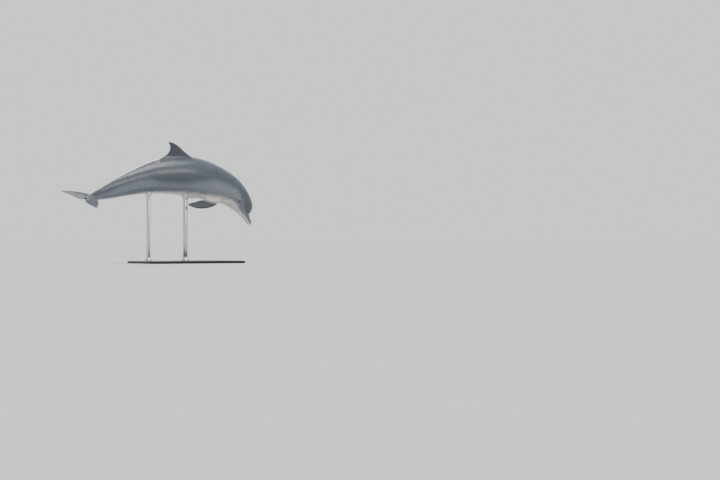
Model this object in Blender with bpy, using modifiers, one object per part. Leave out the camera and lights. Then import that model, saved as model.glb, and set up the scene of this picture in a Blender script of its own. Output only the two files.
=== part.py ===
"""Bottlenose dolphin, life size, in a leaping pose on a plain display stand.

The body is first shaped straight, with its length along X from the snout tip backwards,
and parted there. Then the spine bends every piece into the pose. The dolphin heads +X,
and the origin is the centre of the stand's underside. Metres, +Z up.
"""

import math

import bmesh
import bpy
import numpy as np
from mathutils import Vector
from mathutils.bvhtree import BVHTree

# Driving dimensions
LENGTH = 2.60  # snout tip to the trailing edge of the flukes
GAP = 0.0003  # clearance between neighbouring pieces
SNOUT_HEIGHT = 0.47  # snout tip above the floor
BODY_COLUMNS = 28
EYE_RADIUS = 0.0165
EYE_STATION = 0.1380
EYE_RISE = 0.0020  # above the side line, as a fraction of LENGTH
EYE_BULGE = 0.0035  # how far the eyeball stands out of the cheek
EYE_FORWARD = 0.18  # how far the eye looks forwards for each unit outwards
EYE_COLUMNS, EYE_RINGS = 16, 10

# Straight body: place behind the snout tip, back, side line, belly and half width,
# all as fractions of LENGTH. The side line is the mouth line in front of the gape.
PROFILE = {
    "beak tip": (0.000, 0.0075, -0.0025, -0.0140, 0.0125),
    "beak middle": (0.025, 0.0105, -0.0030, -0.0165, 0.0180),
    "beak base": (0.048, 0.0190, -0.0040, -0.0190, 0.0245),
    "cheek front": (0.075, 0.0220, -0.0075, -0.0255, 0.0385),
    "cheek": (0.100, 0.0330, -0.0090, -0.0345, 0.0490),
    "gape": (0.118, 0.0450, -0.0045, -0.0405, 0.0545),
    "eye": (0.137, 0.0580, 0.0015, -0.0470, 0.0590),
    "nape": (0.170, 0.0735, 0.0060, -0.0590, 0.0625),
    "neck": (0.220, 0.0820, 0.0050, -0.0735, 0.0690),
    "shoulder": (0.280, 0.0885, 0.0030, -0.0835, 0.0770),
    "chest": (0.350, 0.0935, 0.0020, -0.0895, 0.0820),
    "middle": (0.420, 0.0950, 0.0020, -0.0905, 0.0835),
    "loin": (0.500, 0.0915, 0.0030, -0.0865, 0.0800),
    "rump": (0.580, 0.0830, 0.0030, -0.0770, 0.0690),
    "vent": (0.660, 0.0700, 0.0030, -0.0645, 0.0545),
    "tail root": (0.740, 0.0580, 0.0020, -0.0515, 0.0405),
    "tail stock": (0.820, 0.0475, 0.0010, -0.0395, 0.0280),
    "stock end": (0.890, 0.0295, 0.0005, -0.0280, 0.0185),
    "fluke root": (0.930, 0.0220, 0.0000, -0.0205, 0.0150),
    "fluke middle": (0.960, 0.0135, 0.0000, -0.0130, 0.0125),
    "fluke notch": (0.985, 0.0075, 0.0000, -0.0075, 0.0100),
}
# Forehead bulge over the beak: place, top above the axis, half width
MELON = {
    "crease": (0.042, 0.0040, 0.0040),
    "front": (0.047, 0.0275, 0.0140),
    "brow": (0.054, 0.0405, 0.0215),
    "rise": (0.065, 0.0515, 0.0285),
    "dome": (0.080, 0.0590, 0.0350),
    "crown": (0.105, 0.0665, 0.0430),
    "blowhole": (0.135, 0.0710, 0.0510),
    "end": (0.170, 0.0740, 0.0560),
    "sunk": (0.200, 0.0700, 0.0550),
}
MELON_FULLNESS = 2.35
MELON_BLEND = 0.004  # softness of the crease where the forehead meets the beak
# How square the upper and lower half of a section is: 2 is an ellipse, less is keeled
FULLNESS = {
    "beak tip": (0.00, 2.00, 2.00),
    "beak base": (0.05, 1.95, 2.20),
    "gape": (0.12, 2.05, 2.20),
    "chest": (0.30, 2.10, 2.15),
    "loin": (0.55, 2.00, 2.05),
    "tail root": (0.75, 1.75, 1.80),
    "stock end": (0.90, 1.60, 1.60),
    "fluke notch": (0.985, 1.80, 1.80),
}
SNOUT_ROUNDING = 0.012  # length over which the snout tip rounds off
UNDERBITE = 0.006  # how far the lower jaw stands out ahead of the upper, in metres
UNDERBITE_REACH = 0.030
LIP_SOFTNESS = 0.3  # sine of the angle off the side line over which that step fades
NOTCH_ROUNDING = 0.012  # length over which the body's rear end rounds off

# Fins: share of the span, leading edge, trailing edge (fractions of LENGTH)
DORSAL_HEIGHT = 0.083
DORSAL_BASE = 0.490  # place on the back where the fin is carried
DORSAL_OUTLINE = [
    (-0.12, 0.398, 0.610),
    (0.00, 0.413, 0.578),
    (0.12, 0.429, 0.556),
    (0.32, 0.451, 0.5390),
    (0.55, 0.474, 0.5345),
    (0.75, 0.496, 0.5375),
    (0.90, 0.518, 0.5450),
    (1.00, 0.540, 0.5540),
]
FLIPPER_SPAN = 0.150
FLIPPER_BASE = 0.262  # place on the flank where a flipper is carried
FLIPPER_ROOT_DEPTH = 0.95  # share of the way from the body's axis out to its skin
FLIPPER_ROOT_ANGLE = math.radians(-48)  # round the section, from the side line
FLIPPER_SWEEP = math.radians(48)
FLIPPER_DROOP = math.radians(58)
FLIPPER_OUTLINE = [
    (-0.12, -0.030, 0.034),
    (0.00, -0.0310, 0.0300),
    (0.15, -0.0315, 0.0245),
    (0.30, -0.0305, 0.0225),
    (0.50, -0.0245, 0.0210),
    (0.70, -0.0140, 0.0200),
    (0.85, -0.0005, 0.0235),
    (0.95, 0.0105, 0.0250),
    (1.00, 0.0170, 0.0240),
]
FLUKE_SPAN = 0.110
FLUKE_OUTLINE = [
    (-0.12, 0.9130, 0.9740),
    (0.00, 0.9200, 0.9805),
    (0.12, 0.9250, 0.9915),
    (0.30, 0.9370, 0.9985),
    (0.50, 0.9540, 1.0035),
    (0.70, 0.9755, 1.0100),
    (0.85, 0.9955, 1.0180),
    (0.95, 1.0115, 1.0250),
    (1.00, 1.0225, 1.0295),
]
FLUKE_CURL = {1: math.radians(7.5), -1: math.radians(12.5)}  # tips bent up, left and right
FIN_COLUMNS = 16
FIN_RINGS = 13
TIP_ROUNDING = 0.10  # last share of a fin's span, over which the tip rounds off
EDGE_HALF_THICKNESS = 0.0012
EDGE_SLOPE = 4  # how steeply a section closes at its two edges
WING_SECTION = (2.97, -1.26, -3.52, 2.84, -1.03)  # wing thickness: root, then 1st to 4th power
STIFFENING = (0.004, 0.090)  # heights over the skin between which a fin turns stiff
END_MARGIN = 0.001  # keeps off the body's two poles, where a section has no size

# Spine: place, pitch up, turn to the left and roll to the right, in degrees
SPINE = [
    (-0.050, -51.6, -3.2, 13.0),
    (0.125, -51.6, -3.2, 13.0),
    (0.150, -49.0, -3.2, 13.8),
    (0.210, -30.0, -3.3, 16.8),
    (0.320, -17.0, -3.5, 21.7),
    (0.500, 2.6, -3.6, 27.4),
    (0.750, 18.4, 1.6, 27.0),
    (0.930, 15.7, 16.5, 25.2),
    (0.965, 19.4, 16.5, 25.2),
    (1.080, 19.4, 16.5, 25.2),
]
SPINE_REFERENCE = 0.42  # place that the pose leaves where it is
SPINE_STEPS = 260

# Where the flesh is parted
CREASE_CUT = 0.0455
JAW_START, JAW_END = -0.010, 0.116  # the mouth line's reach
JAW_SLANT = 0.008  # how far the cut behind the jaw leans back
JAW_DEPTH = 0.080  # the jaw cutter's depth and half width
JAW_STEPS = 15
NECK_CUTS = {"head": 0.155, "neck": 0.215, "chest": 0.365, "trunk": 0.560, "rump": 0.700}

# Stand
BASE_LENGTH, BASE_WIDTH, BASE_THICKNESS = 1.30, 0.75, 0.030
BASE_CORNER = 0.10
BASE_BEVEL = 0.004
CORNER_SEGMENTS = 6
RODS = {"front": (0.430, 0.028), "rear": (0.620, 0.022)}  # place on the body, radius
SOCKET_HEIGHT = 0.045
SOCKET_FLANGE = 0.022  # how much wider than its rod a socket is at the base
SOCKET_RIM = 0.014
CUP_DEPTH = 0.045  # from the belly over the rod down to the cup's foot
CUP_FOOT = 0.010  # how much wider than its rod a cup is at its foot
CUP_FLARE = 0.030  # and at the belly
ROD_SEGMENTS = 24
SHARP_ANGLE = math.radians(40)  # an edge between faces steeper than this stays sharp


def curve(table, places):
    """Smooth curve through the table's rows, whose first column is the place."""
    rows = np.array(list(table.values()) if isinstance(table, dict) else table, float)
    knots, values = rows[:, 0], rows[:, 1:]
    steps = np.diff(knots)[:, None]
    slopes = np.diff(values, axis=0) / steps
    tangents = np.empty_like(values)
    tangents[0], tangents[-1] = slopes[0], slopes[-1]
    tangents[1:-1] = (slopes[:-1] * steps[1:] + slopes[1:] * steps[:-1]) / (steps[1:] + steps[:-1])
    places = np.clip(np.atleast_1d(np.asarray(places, float)), knots[0], knots[-1])
    left = np.clip(np.searchsorted(knots, places, side="right") - 1, 0, len(knots) - 2)
    step = steps[left]
    t = (places[:, None] - knots[left][:, None]) / step
    return (
        (2 * t**3 - 3 * t**2 + 1) * values[left]
        + (t**3 - 2 * t**2 + t) * step * tangents[left]
        + (3 * t**2 - 2 * t**3) * values[left + 1]
        + (t**3 - t**2) * step * tangents[left + 1]
    )


def superellipse(angle, half_width, height, fullness):
    across = np.abs(np.cos(angle)) / half_width
    upward = np.abs(np.sin(angle)) / height
    return (across**fullness + upward**fullness) ** (-1 / fullness)


def smooth_max(first, second, softness):
    overlap = np.maximum(softness - np.abs(first - second), 0)
    return np.maximum(first, second) + overlap**2 / (4 * softness)


def smoothstep(value, start, end):
    t = np.clip((value - start) / (end - start), 0, 1)
    return t * t * (3 - 2 * t)


def flesh(place, angle, grown=0.0):
    """Points of the straight body's surface, in metres. The angle turns from the left
    side line (0) over the back (90 degrees)."""
    back, side, belly, half_width = curve(PROFILE, place).T
    upper, lower = curve(FULLNESS, place).T
    up = np.sin(angle) >= 0
    radius = np.where(
        up,
        superellipse(angle, half_width, back - side, upper),
        superellipse(angle, half_width, side - belly, lower),
    )
    melon_top, melon_width = curve(MELON, place).T
    melon = superellipse(angle, melon_width, melon_top - side, MELON_FULLNESS)
    in_melon = up & (place > MELON["crease"][0]) & (place < MELON["sunk"][0])
    radius = np.where(in_melon, smooth_max(radius, melon, MELON_BLEND), radius)
    snout = np.clip(1 - place / SNOUT_ROUNDING, 0, 1)
    last = PROFILE["fluke notch"][0]
    notch = np.clip(1 - (last - place) / NOTCH_ROUNDING, 0, 1)
    radius = radius * np.sqrt(1 - snout**2) * np.sqrt(1 - notch**2)
    radius = radius * LENGTH + grown
    below = smoothstep(-np.sin(angle), -LIP_SOFTNESS, LIP_SOFTNESS)
    lower_lip = np.where(place > 0, below, 0.5)
    chin = np.clip(1 - place / UNDERBITE_REACH, 0, 1) ** 2 * lower_lip
    along = place * LENGTH + grown * (notch - snout) - UNDERBITE * chin
    return np.stack(
        [along, radius * np.cos(angle), side * LENGTH + radius * np.sin(angle)], axis=1
    )


class Spine:
    """Carries points of the straight body into the pose."""

    def __init__(self):
        self.places = np.linspace(SPINE[0][0], SPINE[-1][0], SPINE_STEPS + 1)
        forward = self.axes(self.places)[0]
        middle = (forward[1:] + forward[:-1]) / 2 * np.diff(self.places)[:, None] * LENGTH
        line = np.concatenate([np.zeros((1, 3)), -np.cumsum(middle, axis=0)])
        self.line = line - self.read(line, np.array([SPINE_REFERENCE]))

    def read(self, line, places):
        return np.stack([np.interp(places, self.places, line[:, k]) for k in range(3)], axis=1)

    def axes(self, places):
        """Forward, left and up directions at each place."""
        pitch, yaw, roll = np.radians(curve(SPINE, places)).T
        forward = np.stack(
            [np.cos(pitch) * np.cos(yaw), np.cos(pitch) * np.sin(yaw), np.sin(pitch)], axis=1
        )
        level = np.stack([-np.sin(yaw), np.cos(yaw), np.zeros_like(yaw)], axis=1)
        upright = np.cross(forward, level)
        cosine, sine = np.cos(roll)[:, None], np.sin(roll)[:, None]
        return forward, cosine * level + sine * upright, cosine * upright - sine * level

    def bend(self, points):
        """Each point follows the spine at its own place."""
        places = points[:, 0] / LENGTH
        _, left, up = self.axes(places)
        return self.read(self.line, places) + points[:, 1:2] * left + points[:, 2:3] * up

    def carry(self, points, place):
        """All points follow the spine at one place, as a stiff fin does."""
        forward, left, up = self.axes(np.array([place]))
        along = points[:, 0:1] - place * LENGTH
        return (
            self.read(self.line, np.array([place]))
            - along * forward
            + points[:, 1:2] * left
            + points[:, 2:3] * up
        )


def fin_section(outline, thickness, share, angle):
    """Place along the body and thickness off the middle plane, in metres, for points of a
    fin's section. The angle turns from the leading edge (0) to the trailing edge (pi)."""
    leading, trailing = curve(outline, share).T
    tip = np.clip((share - (1 - TIP_ROUNDING)) / TIP_ROUNDING, 0, 1)
    closing = np.sqrt(np.maximum(1 - tip**2, 0))
    middle, half_chord = (leading + trailing) / 2, (trailing - leading) / 2
    along = middle - half_chord * closing * np.cos(angle)
    chord = (1 - np.cos(angle)) / 2
    powers = (np.sqrt(chord), chord, chord**2, chord**3, chord**4)
    wing = sum(factor * power for factor, power in zip(WING_SECTION, powers))
    thick = np.maximum(thickness(share) * half_chord * LENGTH * wing, EDGE_HALF_THICKNESS) * closing
    thick = thick * np.clip(np.abs(np.sin(angle)) * EDGE_SLOPE, 0, 1) * np.sign(np.sin(angle))
    return along * LENGTH, thick


def dorsal_thickness(share):
    """Half thickness at a share of the span, as a fraction of half the chord."""
    return 0.16 + 0.10 * np.clip(1 - share / 0.25, 0, 2) ** 2


def flipper_thickness(share):
    return 0.30 - 0.14 * np.clip(share, 0, 1)


def fluke_thickness(share):
    return 0.26 - 0.10 * np.clip(share, 0, 1)


def dorsal_points(along, out, thick):
    top = curve(PROFILE, [DORSAL_BASE])[0, 0] * LENGTH
    return np.stack([along, thick, top + out], axis=1)


def flipper_frame(side):
    """Root point, span, chord and face directions of a flipper on the straight body."""
    angle = FLIPPER_ROOT_ANGLE if side > 0 else math.pi - FLIPPER_ROOT_ANGLE
    surface = flesh(np.array([FLIPPER_BASE]), np.array([angle]))[0]
    centre = np.array([surface[0], 0, curve(PROFILE, [FLIPPER_BASE])[0, 1] * LENGTH])
    root = centre + (surface - centre) * FLIPPER_ROOT_DEPTH
    span = np.array(
        [
            math.sin(FLIPPER_SWEEP),
            side * math.cos(FLIPPER_SWEEP) * math.cos(FLIPPER_DROOP),
            -math.cos(FLIPPER_SWEEP) * math.sin(FLIPPER_DROOP),
        ]
    )
    chord = np.array([1.0, 0, 0]) - span * span[0]
    chord = chord / np.linalg.norm(chord)
    return root, span, chord, np.cross(span, chord)


def flipper_points(side):
    root, span, chord, face = flipper_frame(side)

    def lay_out(along, out, thick):
        return root + np.outer(out, span) + np.outer(along, chord) + np.outer(thick, face)

    return lay_out


def fluke_points(side):
    def lay_out(along, out, thick):
        lift = np.sign(out) * out**2 / (FLUKE_SPAN * LENGTH) * math.tan(FLUKE_CURL[side])
        return np.stack([along, side * out, thick + np.maximum(lift, 0)], axis=1)

    return lay_out


def new_object(name, mesh, collection):
    obj = bpy.data.objects.new(name, mesh)
    collection.objects.link(obj)
    return obj


def ball(name, columns, rings, place_vertex, collection):
    """A UV sphere whose rings and columns are moved to the shape's own stations."""
    mesh = bpy.data.meshes.new(name)
    bm = bmesh.new()
    bmesh.ops.create_uvsphere(bm, u_segments=columns, v_segments=rings, radius=1)
    # The sphere's poles become the first and last station.
    share = np.array([math.acos(max(-1, min(1, v.co.z))) / math.pi for v in bm.verts])
    angle = np.array([math.atan2(v.co.y, v.co.x) for v in bm.verts])
    for vertex, point in zip(bm.verts, place_vertex(np.round(share * rings).astype(int), angle)):
        vertex.co = point
    bmesh.ops.recalc_face_normals(bm, faces=bm.faces)
    if bm.calc_volume(signed=True) < 0:
        bmesh.ops.reverse_faces(bm, faces=bm.faces)
    bmesh.ops.triangulate(bm, faces=bm.faces, quad_method="FIXED")
    bm.to_mesh(mesh)
    bm.free()
    return new_object(name, mesh, collection)


def body_stations():
    """Places of the body's rings, closer together where the shape changes fast."""
    runs = [
        (0.0, SNOUT_ROUNDING, 5),
        (SNOUT_ROUNDING, 0.042, 5),
        (0.042, 0.066, 7),
        (0.066, 0.170, 9),
        (0.170, 0.900, 27),
        (0.900, 0.973, 5),
        (0.973, PROFILE["fluke notch"][0], 3),
    ]
    places = [0.0]
    for start, end, count in runs:
        share = np.arange(1, count + 1) / count
        if start == 0.0:
            share = 1 - np.cos(share * math.pi / 2)
        elif end == PROFILE["fluke notch"][0]:
            share = np.sin(share * math.pi / 2)
        places.extend(start + (end - start) * share)
    return np.array(places)


def make_body(name, collection, grown=0.0):
    stations = body_stations()

    def place_vertex(ring, angle):
        return flesh(stations[ring], angle, grown)

    return ball(name, BODY_COLUMNS, len(stations) - 1, place_vertex, collection)


def make_fin(name, outline, span, thickness, lay_out, collection):
    """A fin of rounded sections from inside the body out to its tip."""
    first = outline[0][0]
    steps = np.linspace(0, 1, FIN_RINGS + 1)
    shares = first + (1 - first) * np.sin(steps * math.pi / 2)

    def place_vertex(ring, angle):
        along, thick = fin_section(outline, thickness, shares[ring], angle)
        root = ring == 0
        along = np.where(root, along.mean(), along)
        return lay_out(along, shares[ring] * span * LENGTH, np.where(root, 0, thick))

    return ball(name, FIN_COLUMNS, FIN_RINGS, place_vertex, collection)


def part_with_plane(obj, place, keep_rear, axis=0):
    """Cuts a closed mesh with a plane across an axis and closes the cut."""
    normal = Vector((0, 0, 0))
    normal[axis] = -1 if keep_rear else 1
    point = Vector((0, 0, 0))
    point[axis] = place
    bm = bmesh.new()
    bm.from_mesh(obj.data)
    cut = bmesh.ops.bisect_plane(
        bm, geom=bm.verts[:] + bm.edges[:] + bm.faces[:], plane_co=point, plane_no=normal,
        clear_outer=True, dist=1e-7,
    )
    edges = [item for item in cut["geom_cut"] if isinstance(item, bmesh.types.BMEdge)]
    bmesh.ops.edgenet_fill(bm, edges=edges)
    bmesh.ops.triangulate(bm, faces=bm.faces)
    bmesh.ops.recalc_face_normals(bm, faces=bm.faces)
    bm.to_mesh(obj.data)
    bm.free()


def copy_of(obj, name, collection):
    return new_object(name, obj.data.copy(), collection)


def boolean(obj, cutter, operation):
    """Applies an exact Boolean and keeps its result as the object's mesh."""
    modifier = obj.modifiers.new(operation.title(), "BOOLEAN")
    modifier.operation = operation
    modifier.object = cutter
    modifier.solver = "EXACT"
    graph = bpy.context.evaluated_depsgraph_get()
    result = bpy.data.meshes.new_from_object(obj.evaluated_get(graph))
    obj.modifiers.clear()
    obj.data = result


def slab(body, name, start, end, collection):
    """The body between two places, less half a gap at each cut."""
    piece = copy_of(body, name, collection)
    if start is not None:
        part_with_plane(piece, start * LENGTH + GAP / 2, keep_rear=True)
    if end is not None:
        part_with_plane(piece, end * LENGTH - GAP / 2, keep_rear=False)
    return piece


def jaw_cutter(name, clearance, collection):
    """A block below the mouth line, from ahead of the snout back to the gape."""
    places = np.linspace(JAW_START, JAW_END, JAW_STEPS)
    heights = curve(PROFILE, places)[:, 1] * LENGTH - 2 * GAP + clearance
    outline = [(x * LENGTH, z) for x, z in zip(places, heights)]
    outline[-1] = (outline[-1][0] + clearance, outline[-1][1])
    depth = -JAW_DEPTH * LENGTH
    outline += [(outline[-1][0] + JAW_SLANT * LENGTH, depth), (outline[0][0], depth)]
    half_width = JAW_DEPTH * LENGTH
    bm = bmesh.new()
    face = bm.faces.new([bm.verts.new((x, -half_width, z)) for x, z in outline])
    walls = bmesh.ops.extrude_face_region(bm, geom=[face])
    moved = [item for item in walls["geom"] if isinstance(item, bmesh.types.BMVert)]
    bmesh.ops.translate(bm, verts=moved, vec=(0, 2 * half_width, 0))
    bmesh.ops.recalc_face_normals(bm, faces=bm.faces)
    mesh = bpy.data.meshes.new(name)
    bm.to_mesh(mesh)
    bm.free()
    return new_object(name, mesh, collection)


def eye_centre(side):
    half_width = curve(PROFILE, [EYE_STATION])[0, 3]
    angle = math.asin(EYE_RISE / half_width)
    angle = angle if side > 0 else math.pi - angle
    surface = flesh(np.array([EYE_STATION]), np.array([angle]))[0]
    outward = np.array([-EYE_FORWARD, side, 0.0])
    outward /= np.linalg.norm(outward)
    return surface - outward * (EYE_RADIUS - EYE_BULGE)


def sphere(name, centre, radius, collection):
    mesh = bpy.data.meshes.new(name)
    bm = bmesh.new()
    bmesh.ops.create_uvsphere(bm, u_segments=EYE_COLUMNS, v_segments=EYE_RINGS, radius=radius)
    bmesh.ops.translate(bm, verts=bm.verts, vec=centre)
    bm.to_mesh(mesh)
    bm.free()
    return new_object(name, mesh, collection)


def cylinder(name, radius, bottom, top, at, collection, top_radius=None):
    mesh = bpy.data.meshes.new(name)
    bm = bmesh.new()
    bmesh.ops.create_cone(
        bm, segments=ROD_SEGMENTS, cap_ends=True, radius1=radius,
        radius2=top_radius or radius, depth=top - bottom,
    )
    bm.to_mesh(mesh)
    bm.free()
    obj = new_object(name, mesh, collection)
    obj.location = (at[0], at[1], (top + bottom) / 2)
    return obj


def vertices(obj):
    points = np.empty(len(obj.data.vertices) * 3)
    obj.data.vertices.foreach_get("co", points)
    return points.reshape(-1, 3)


def set_vertices(obj, points):
    obj.data.vertices.foreach_set("co", np.asarray(points, np.float32).reshape(-1))
    obj.data.update()


def material(name, colour, roughness, metallic=0.0):
    made = bpy.data.materials.new(name)
    made.use_nodes = True
    shader = made.node_tree.nodes["Principled BSDF"]
    shader.inputs["Base Color"].default_value = (*colour, 1)
    shader.inputs["Roughness"].default_value = roughness
    shader.inputs["Metallic"].default_value = metallic
    made.diffuse_color = (*colour, 1)
    return made


def centre_of_mass(obj):
    """Centroid of a closed triangle mesh."""
    mesh = obj.data
    mesh.calc_loop_triangles()
    points = vertices(obj)
    corners = np.empty(len(mesh.loop_triangles) * 3, np.int32)
    mesh.loop_triangles.foreach_get("vertices", corners)
    triangles = points[corners.reshape(-1, 3)]
    volumes = np.linalg.det(triangles)
    return (triangles.sum(axis=1) / 4 * volumes[:, None]).sum(axis=0) / volumes.sum()


def make_flesh(dolphin, cutters):
    """The straight pieces of the body, and the whole body twice, as it is and grown by a gap."""
    body = make_body("cutter_body", cutters)
    grown = make_body("cutter_body_grown", cutters, grown=GAP)
    pieces = {}
    pieces["upper_beak"] = slab(body, "upper_beak", None, CREASE_CUT, dolphin)
    cuts = list(NECK_CUTS.values())
    pieces["head"] = slab(body, "head", CREASE_CUT, cuts[0], dolphin)
    pieces["lower_jaw"] = slab(body, "lower_jaw", None, cuts[0], dolphin)
    behind_head = ["neck", "chest", "trunk", "rump", "tail_stock"]
    for name, start, end in zip(behind_head, cuts, [*cuts[1:], None]):
        pieces[name] = slab(body, name, start, end, dolphin)
    jaw = jaw_cutter("cutter_jaw", 0.0, cutters)
    jaw_room = jaw_cutter("cutter_jaw_room", GAP, cutters)
    boolean(pieces["lower_jaw"], jaw, "INTERSECT")
    boolean(pieces["upper_beak"], jaw_room, "DIFFERENCE")
    boolean(pieces["head"], jaw_room, "DIFFERENCE")
    for side, label in ((1, "left"), (-1, "right")):
        centre = eye_centre(side)
        pieces[f"eye_{label}"] = sphere(f"eye_{label}", centre, EYE_RADIUS, dolphin)
        socket = sphere(f"cutter_socket_{label}", centre, EYE_RADIUS + GAP, cutters)
        boolean(pieces["head"], socket, "DIFFERENCE")
    return pieces, body, grown


def make_fins(dolphin):
    fins = {}
    fins["dorsal_fin"] = make_fin(
        "dorsal_fin", DORSAL_OUTLINE, DORSAL_HEIGHT, dorsal_thickness, dorsal_points, dolphin
    )
    for side, label in ((1, "left"), (-1, "right")):
        fins[f"flipper_{label}"] = make_fin(
            f"flipper_{label}", FLIPPER_OUTLINE, FLIPPER_SPAN, flipper_thickness,
            flipper_points(side), dolphin,
        )
        fluke = make_fin(
            f"fluke_{label}", FLUKE_OUTLINE, FLUKE_SPAN, fluke_thickness, fluke_points(side), dolphin
        )
        part_with_plane(fluke, side * GAP / 2, keep_rear=side > 0, axis=1)
        fins[f"fluke_{label}"] = fluke
    return fins


def move_to_pose(obj, points):
    """The straight frame runs backwards along X, so its faces turn round in the pose."""
    set_vertices(obj, points)
    obj.data.flip_normals()


def height_over_skin(points):
    """Distance of each point from the straight body's surface, measured from its axis."""
    place = points[:, 0] / LENGTH
    axis = curve(PROFILE, place)[:, 1] * LENGTH
    angle = np.arctan2(points[:, 2] - axis, points[:, 1])
    rear_end = PROFILE["fluke notch"][0]
    surface = flesh(np.clip(place, END_MARGIN, rear_end - END_MARGIN), angle)
    reach = np.hypot(points[:, 1], points[:, 2] - axis)
    return reach - np.hypot(surface[:, 1], surface[:, 2] - axis)


def pose(spine, pieces, fins):
    """Flesh bends with the spine, and a fin is stiff from a little way out of the skin."""
    for piece in pieces.values():
        move_to_pose(piece, spine.bend(vertices(piece)))
    carriers = {
        "dorsal_fin": DORSAL_BASE,
        "flipper_left": FLIPPER_BASE,
        "flipper_right": FLIPPER_BASE,
    }
    for name, fin in fins.items():
        points = vertices(fin)
        bent = spine.bend(points)
        if name in carriers:
            stiff = smoothstep(height_over_skin(points), *STIFFENING)[:, None]
            bent = (1 - stiff) * bent + stiff * spine.carry(points, carriers[name])
        move_to_pose(fin, bent)


def make_base(dolphin):
    mesh = bpy.data.meshes.new("stand_base")
    bm = bmesh.new()
    bmesh.ops.create_cube(bm, size=1)
    bmesh.ops.scale(bm, verts=bm.verts, vec=(BASE_LENGTH, BASE_WIDTH, BASE_THICKNESS))
    bmesh.ops.translate(bm, verts=bm.verts, vec=(0, 0, BASE_THICKNESS / 2))
    upright = [e for e in bm.edges if abs(e.verts[0].co.z - e.verts[1].co.z) > BASE_THICKNESS / 2]
    bmesh.ops.bevel(
        bm, geom=upright, offset=BASE_CORNER, segments=CORNER_SEGMENTS, profile=0.5, affect="EDGES"
    )
    bm.to_mesh(mesh)
    bm.free()
    base = new_object("stand_base", mesh, dolphin)
    bevel = base.modifiers.new("Edge", "BEVEL")
    bevel.width = BASE_BEVEL
    bevel.segments = 2
    return base


def belly_over(body, x, y):
    """Height of the body's underside over a point of the floor."""
    mesh = body.data
    tree = BVHTree.FromPolygons([v.co for v in mesh.vertices], [p.vertices for p in mesh.polygons])
    return tree.ray_cast(Vector((x, y, 0)), Vector((0, 0, 1)))[0].z


def make_stand(spine, lift, body, dolphin):
    """Base, and for each rod a socket on the base and a cup cut to the belly."""
    stand = {"stand_base": make_base(dolphin)}
    socket_top = BASE_THICKNESS + SOCKET_HEIGHT
    for label, (place, radius) in RODS.items():
        at = spine.bend(np.array([[place * LENGTH, 0, 0]]))[0] + lift
        cup_foot = belly_over(body, at[0], at[1]) - CUP_DEPTH
        cup_top = cup_foot + 2 * CUP_DEPTH
        stand[f"stand_socket_{label}"] = cylinder(
            f"stand_socket_{label}", radius + SOCKET_FLANGE, BASE_THICKNESS + GAP, socket_top, at,
            dolphin, top_radius=radius + SOCKET_RIM,
        )
        stand[f"stand_rod_{label}"] = cylinder(
            f"stand_rod_{label}", radius, socket_top + GAP, cup_foot - GAP, at, dolphin
        )
        cup = cylinder(
            f"stand_cup_{label}", radius + CUP_FOOT, cup_foot, cup_top, at, dolphin,
            top_radius=radius + CUP_FLARE,
        )
        boolean(cup, body, "DIFFERENCE")
        stand[f"stand_cup_{label}"] = cup
    return stand


def give_materials(objects):
    skin = material("dolphin_skin", (0.16, 0.19, 0.22), 0.35)
    eye = material("dolphin_eye", (0.02, 0.015, 0.012), 0.08)
    steel = material("stand_steel", (0.62, 0.63, 0.64), 0.30, 1.0)
    black = material("stand_black", (0.03, 0.03, 0.032), 0.45)
    for name, obj in objects.items():
        if name.startswith("eye"):
            chosen = eye
        elif name == "stand_base":
            chosen = black
        elif name.startswith("stand"):
            chosen = steel
        else:
            chosen = skin
        obj.data.materials.clear()
        obj.data.materials.append(chosen)
        obj.data.shade_smooth()
        obj.data.set_sharp_from_angle(angle=SHARP_ANGLE)


def main():
    for obj in list(bpy.data.objects):
        bpy.data.objects.remove(obj, do_unlink=True)
    scene = bpy.context.scene.collection
    dolphin = bpy.data.collections.new("bottlenose_dolphin")
    cutters = bpy.data.collections.new("cutters")
    scene.children.link(dolphin)
    scene.children.link(cutters)
    cutters.hide_render = True

    pieces, body, grown = make_flesh(dolphin, cutters)
    fins = make_fins(dolphin)
    spine = Spine()
    pose(spine, pieces, fins)
    for cutter in (body, grown):
        move_to_pose(cutter, spine.bend(vertices(cutter)))
    for fin in fins.values():
        boolean(fin, grown, "DIFFERENCE")
    centre = centre_of_mass(body)
    lowest = vertices(body)[:, 2].min()
    lift = np.array([-centre[0], -centre[1], SNOUT_HEIGHT - lowest])
    for obj in [*pieces.values(), *fins.values(), body, grown]:
        set_vertices(obj, vertices(obj) + lift)
    stand = make_stand(spine, lift, grown, dolphin)

    give_materials({**pieces, **fins, **stand})
    for cutter in cutters.objects:
        cutter.hide_render = True
        cutter.display_type = "WIRE"
    print("centre of mass", np.round(centre + lift, 4), "lowest", round(float(lowest + lift[2]), 4))


main()
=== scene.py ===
# %% [markdown]
# # A bottlenose dolphin on a display stand
#
# A life-size museum model: a grown bottlenose dolphin, 2.6 m long, caught in a leap with
# its head already turned down to the water. Real models of this kind are carved in foam,
# skinned with resin, painted by airbrush and set on steel rods. This lesson builds the
# same thing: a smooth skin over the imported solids, glossy eyes, and a lacquered base with
# turned steel fittings.
#
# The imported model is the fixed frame. The body's tables below are those that its solids
# were shaped by, and the place in the room and the stand's sizes are read from its nodes.

# %% Load the frame
import math

import bpy
import numpy as np
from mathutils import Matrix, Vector
from mathutils.bvhtree import BVHTree
from mathutils.kdtree import KDTree


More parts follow.
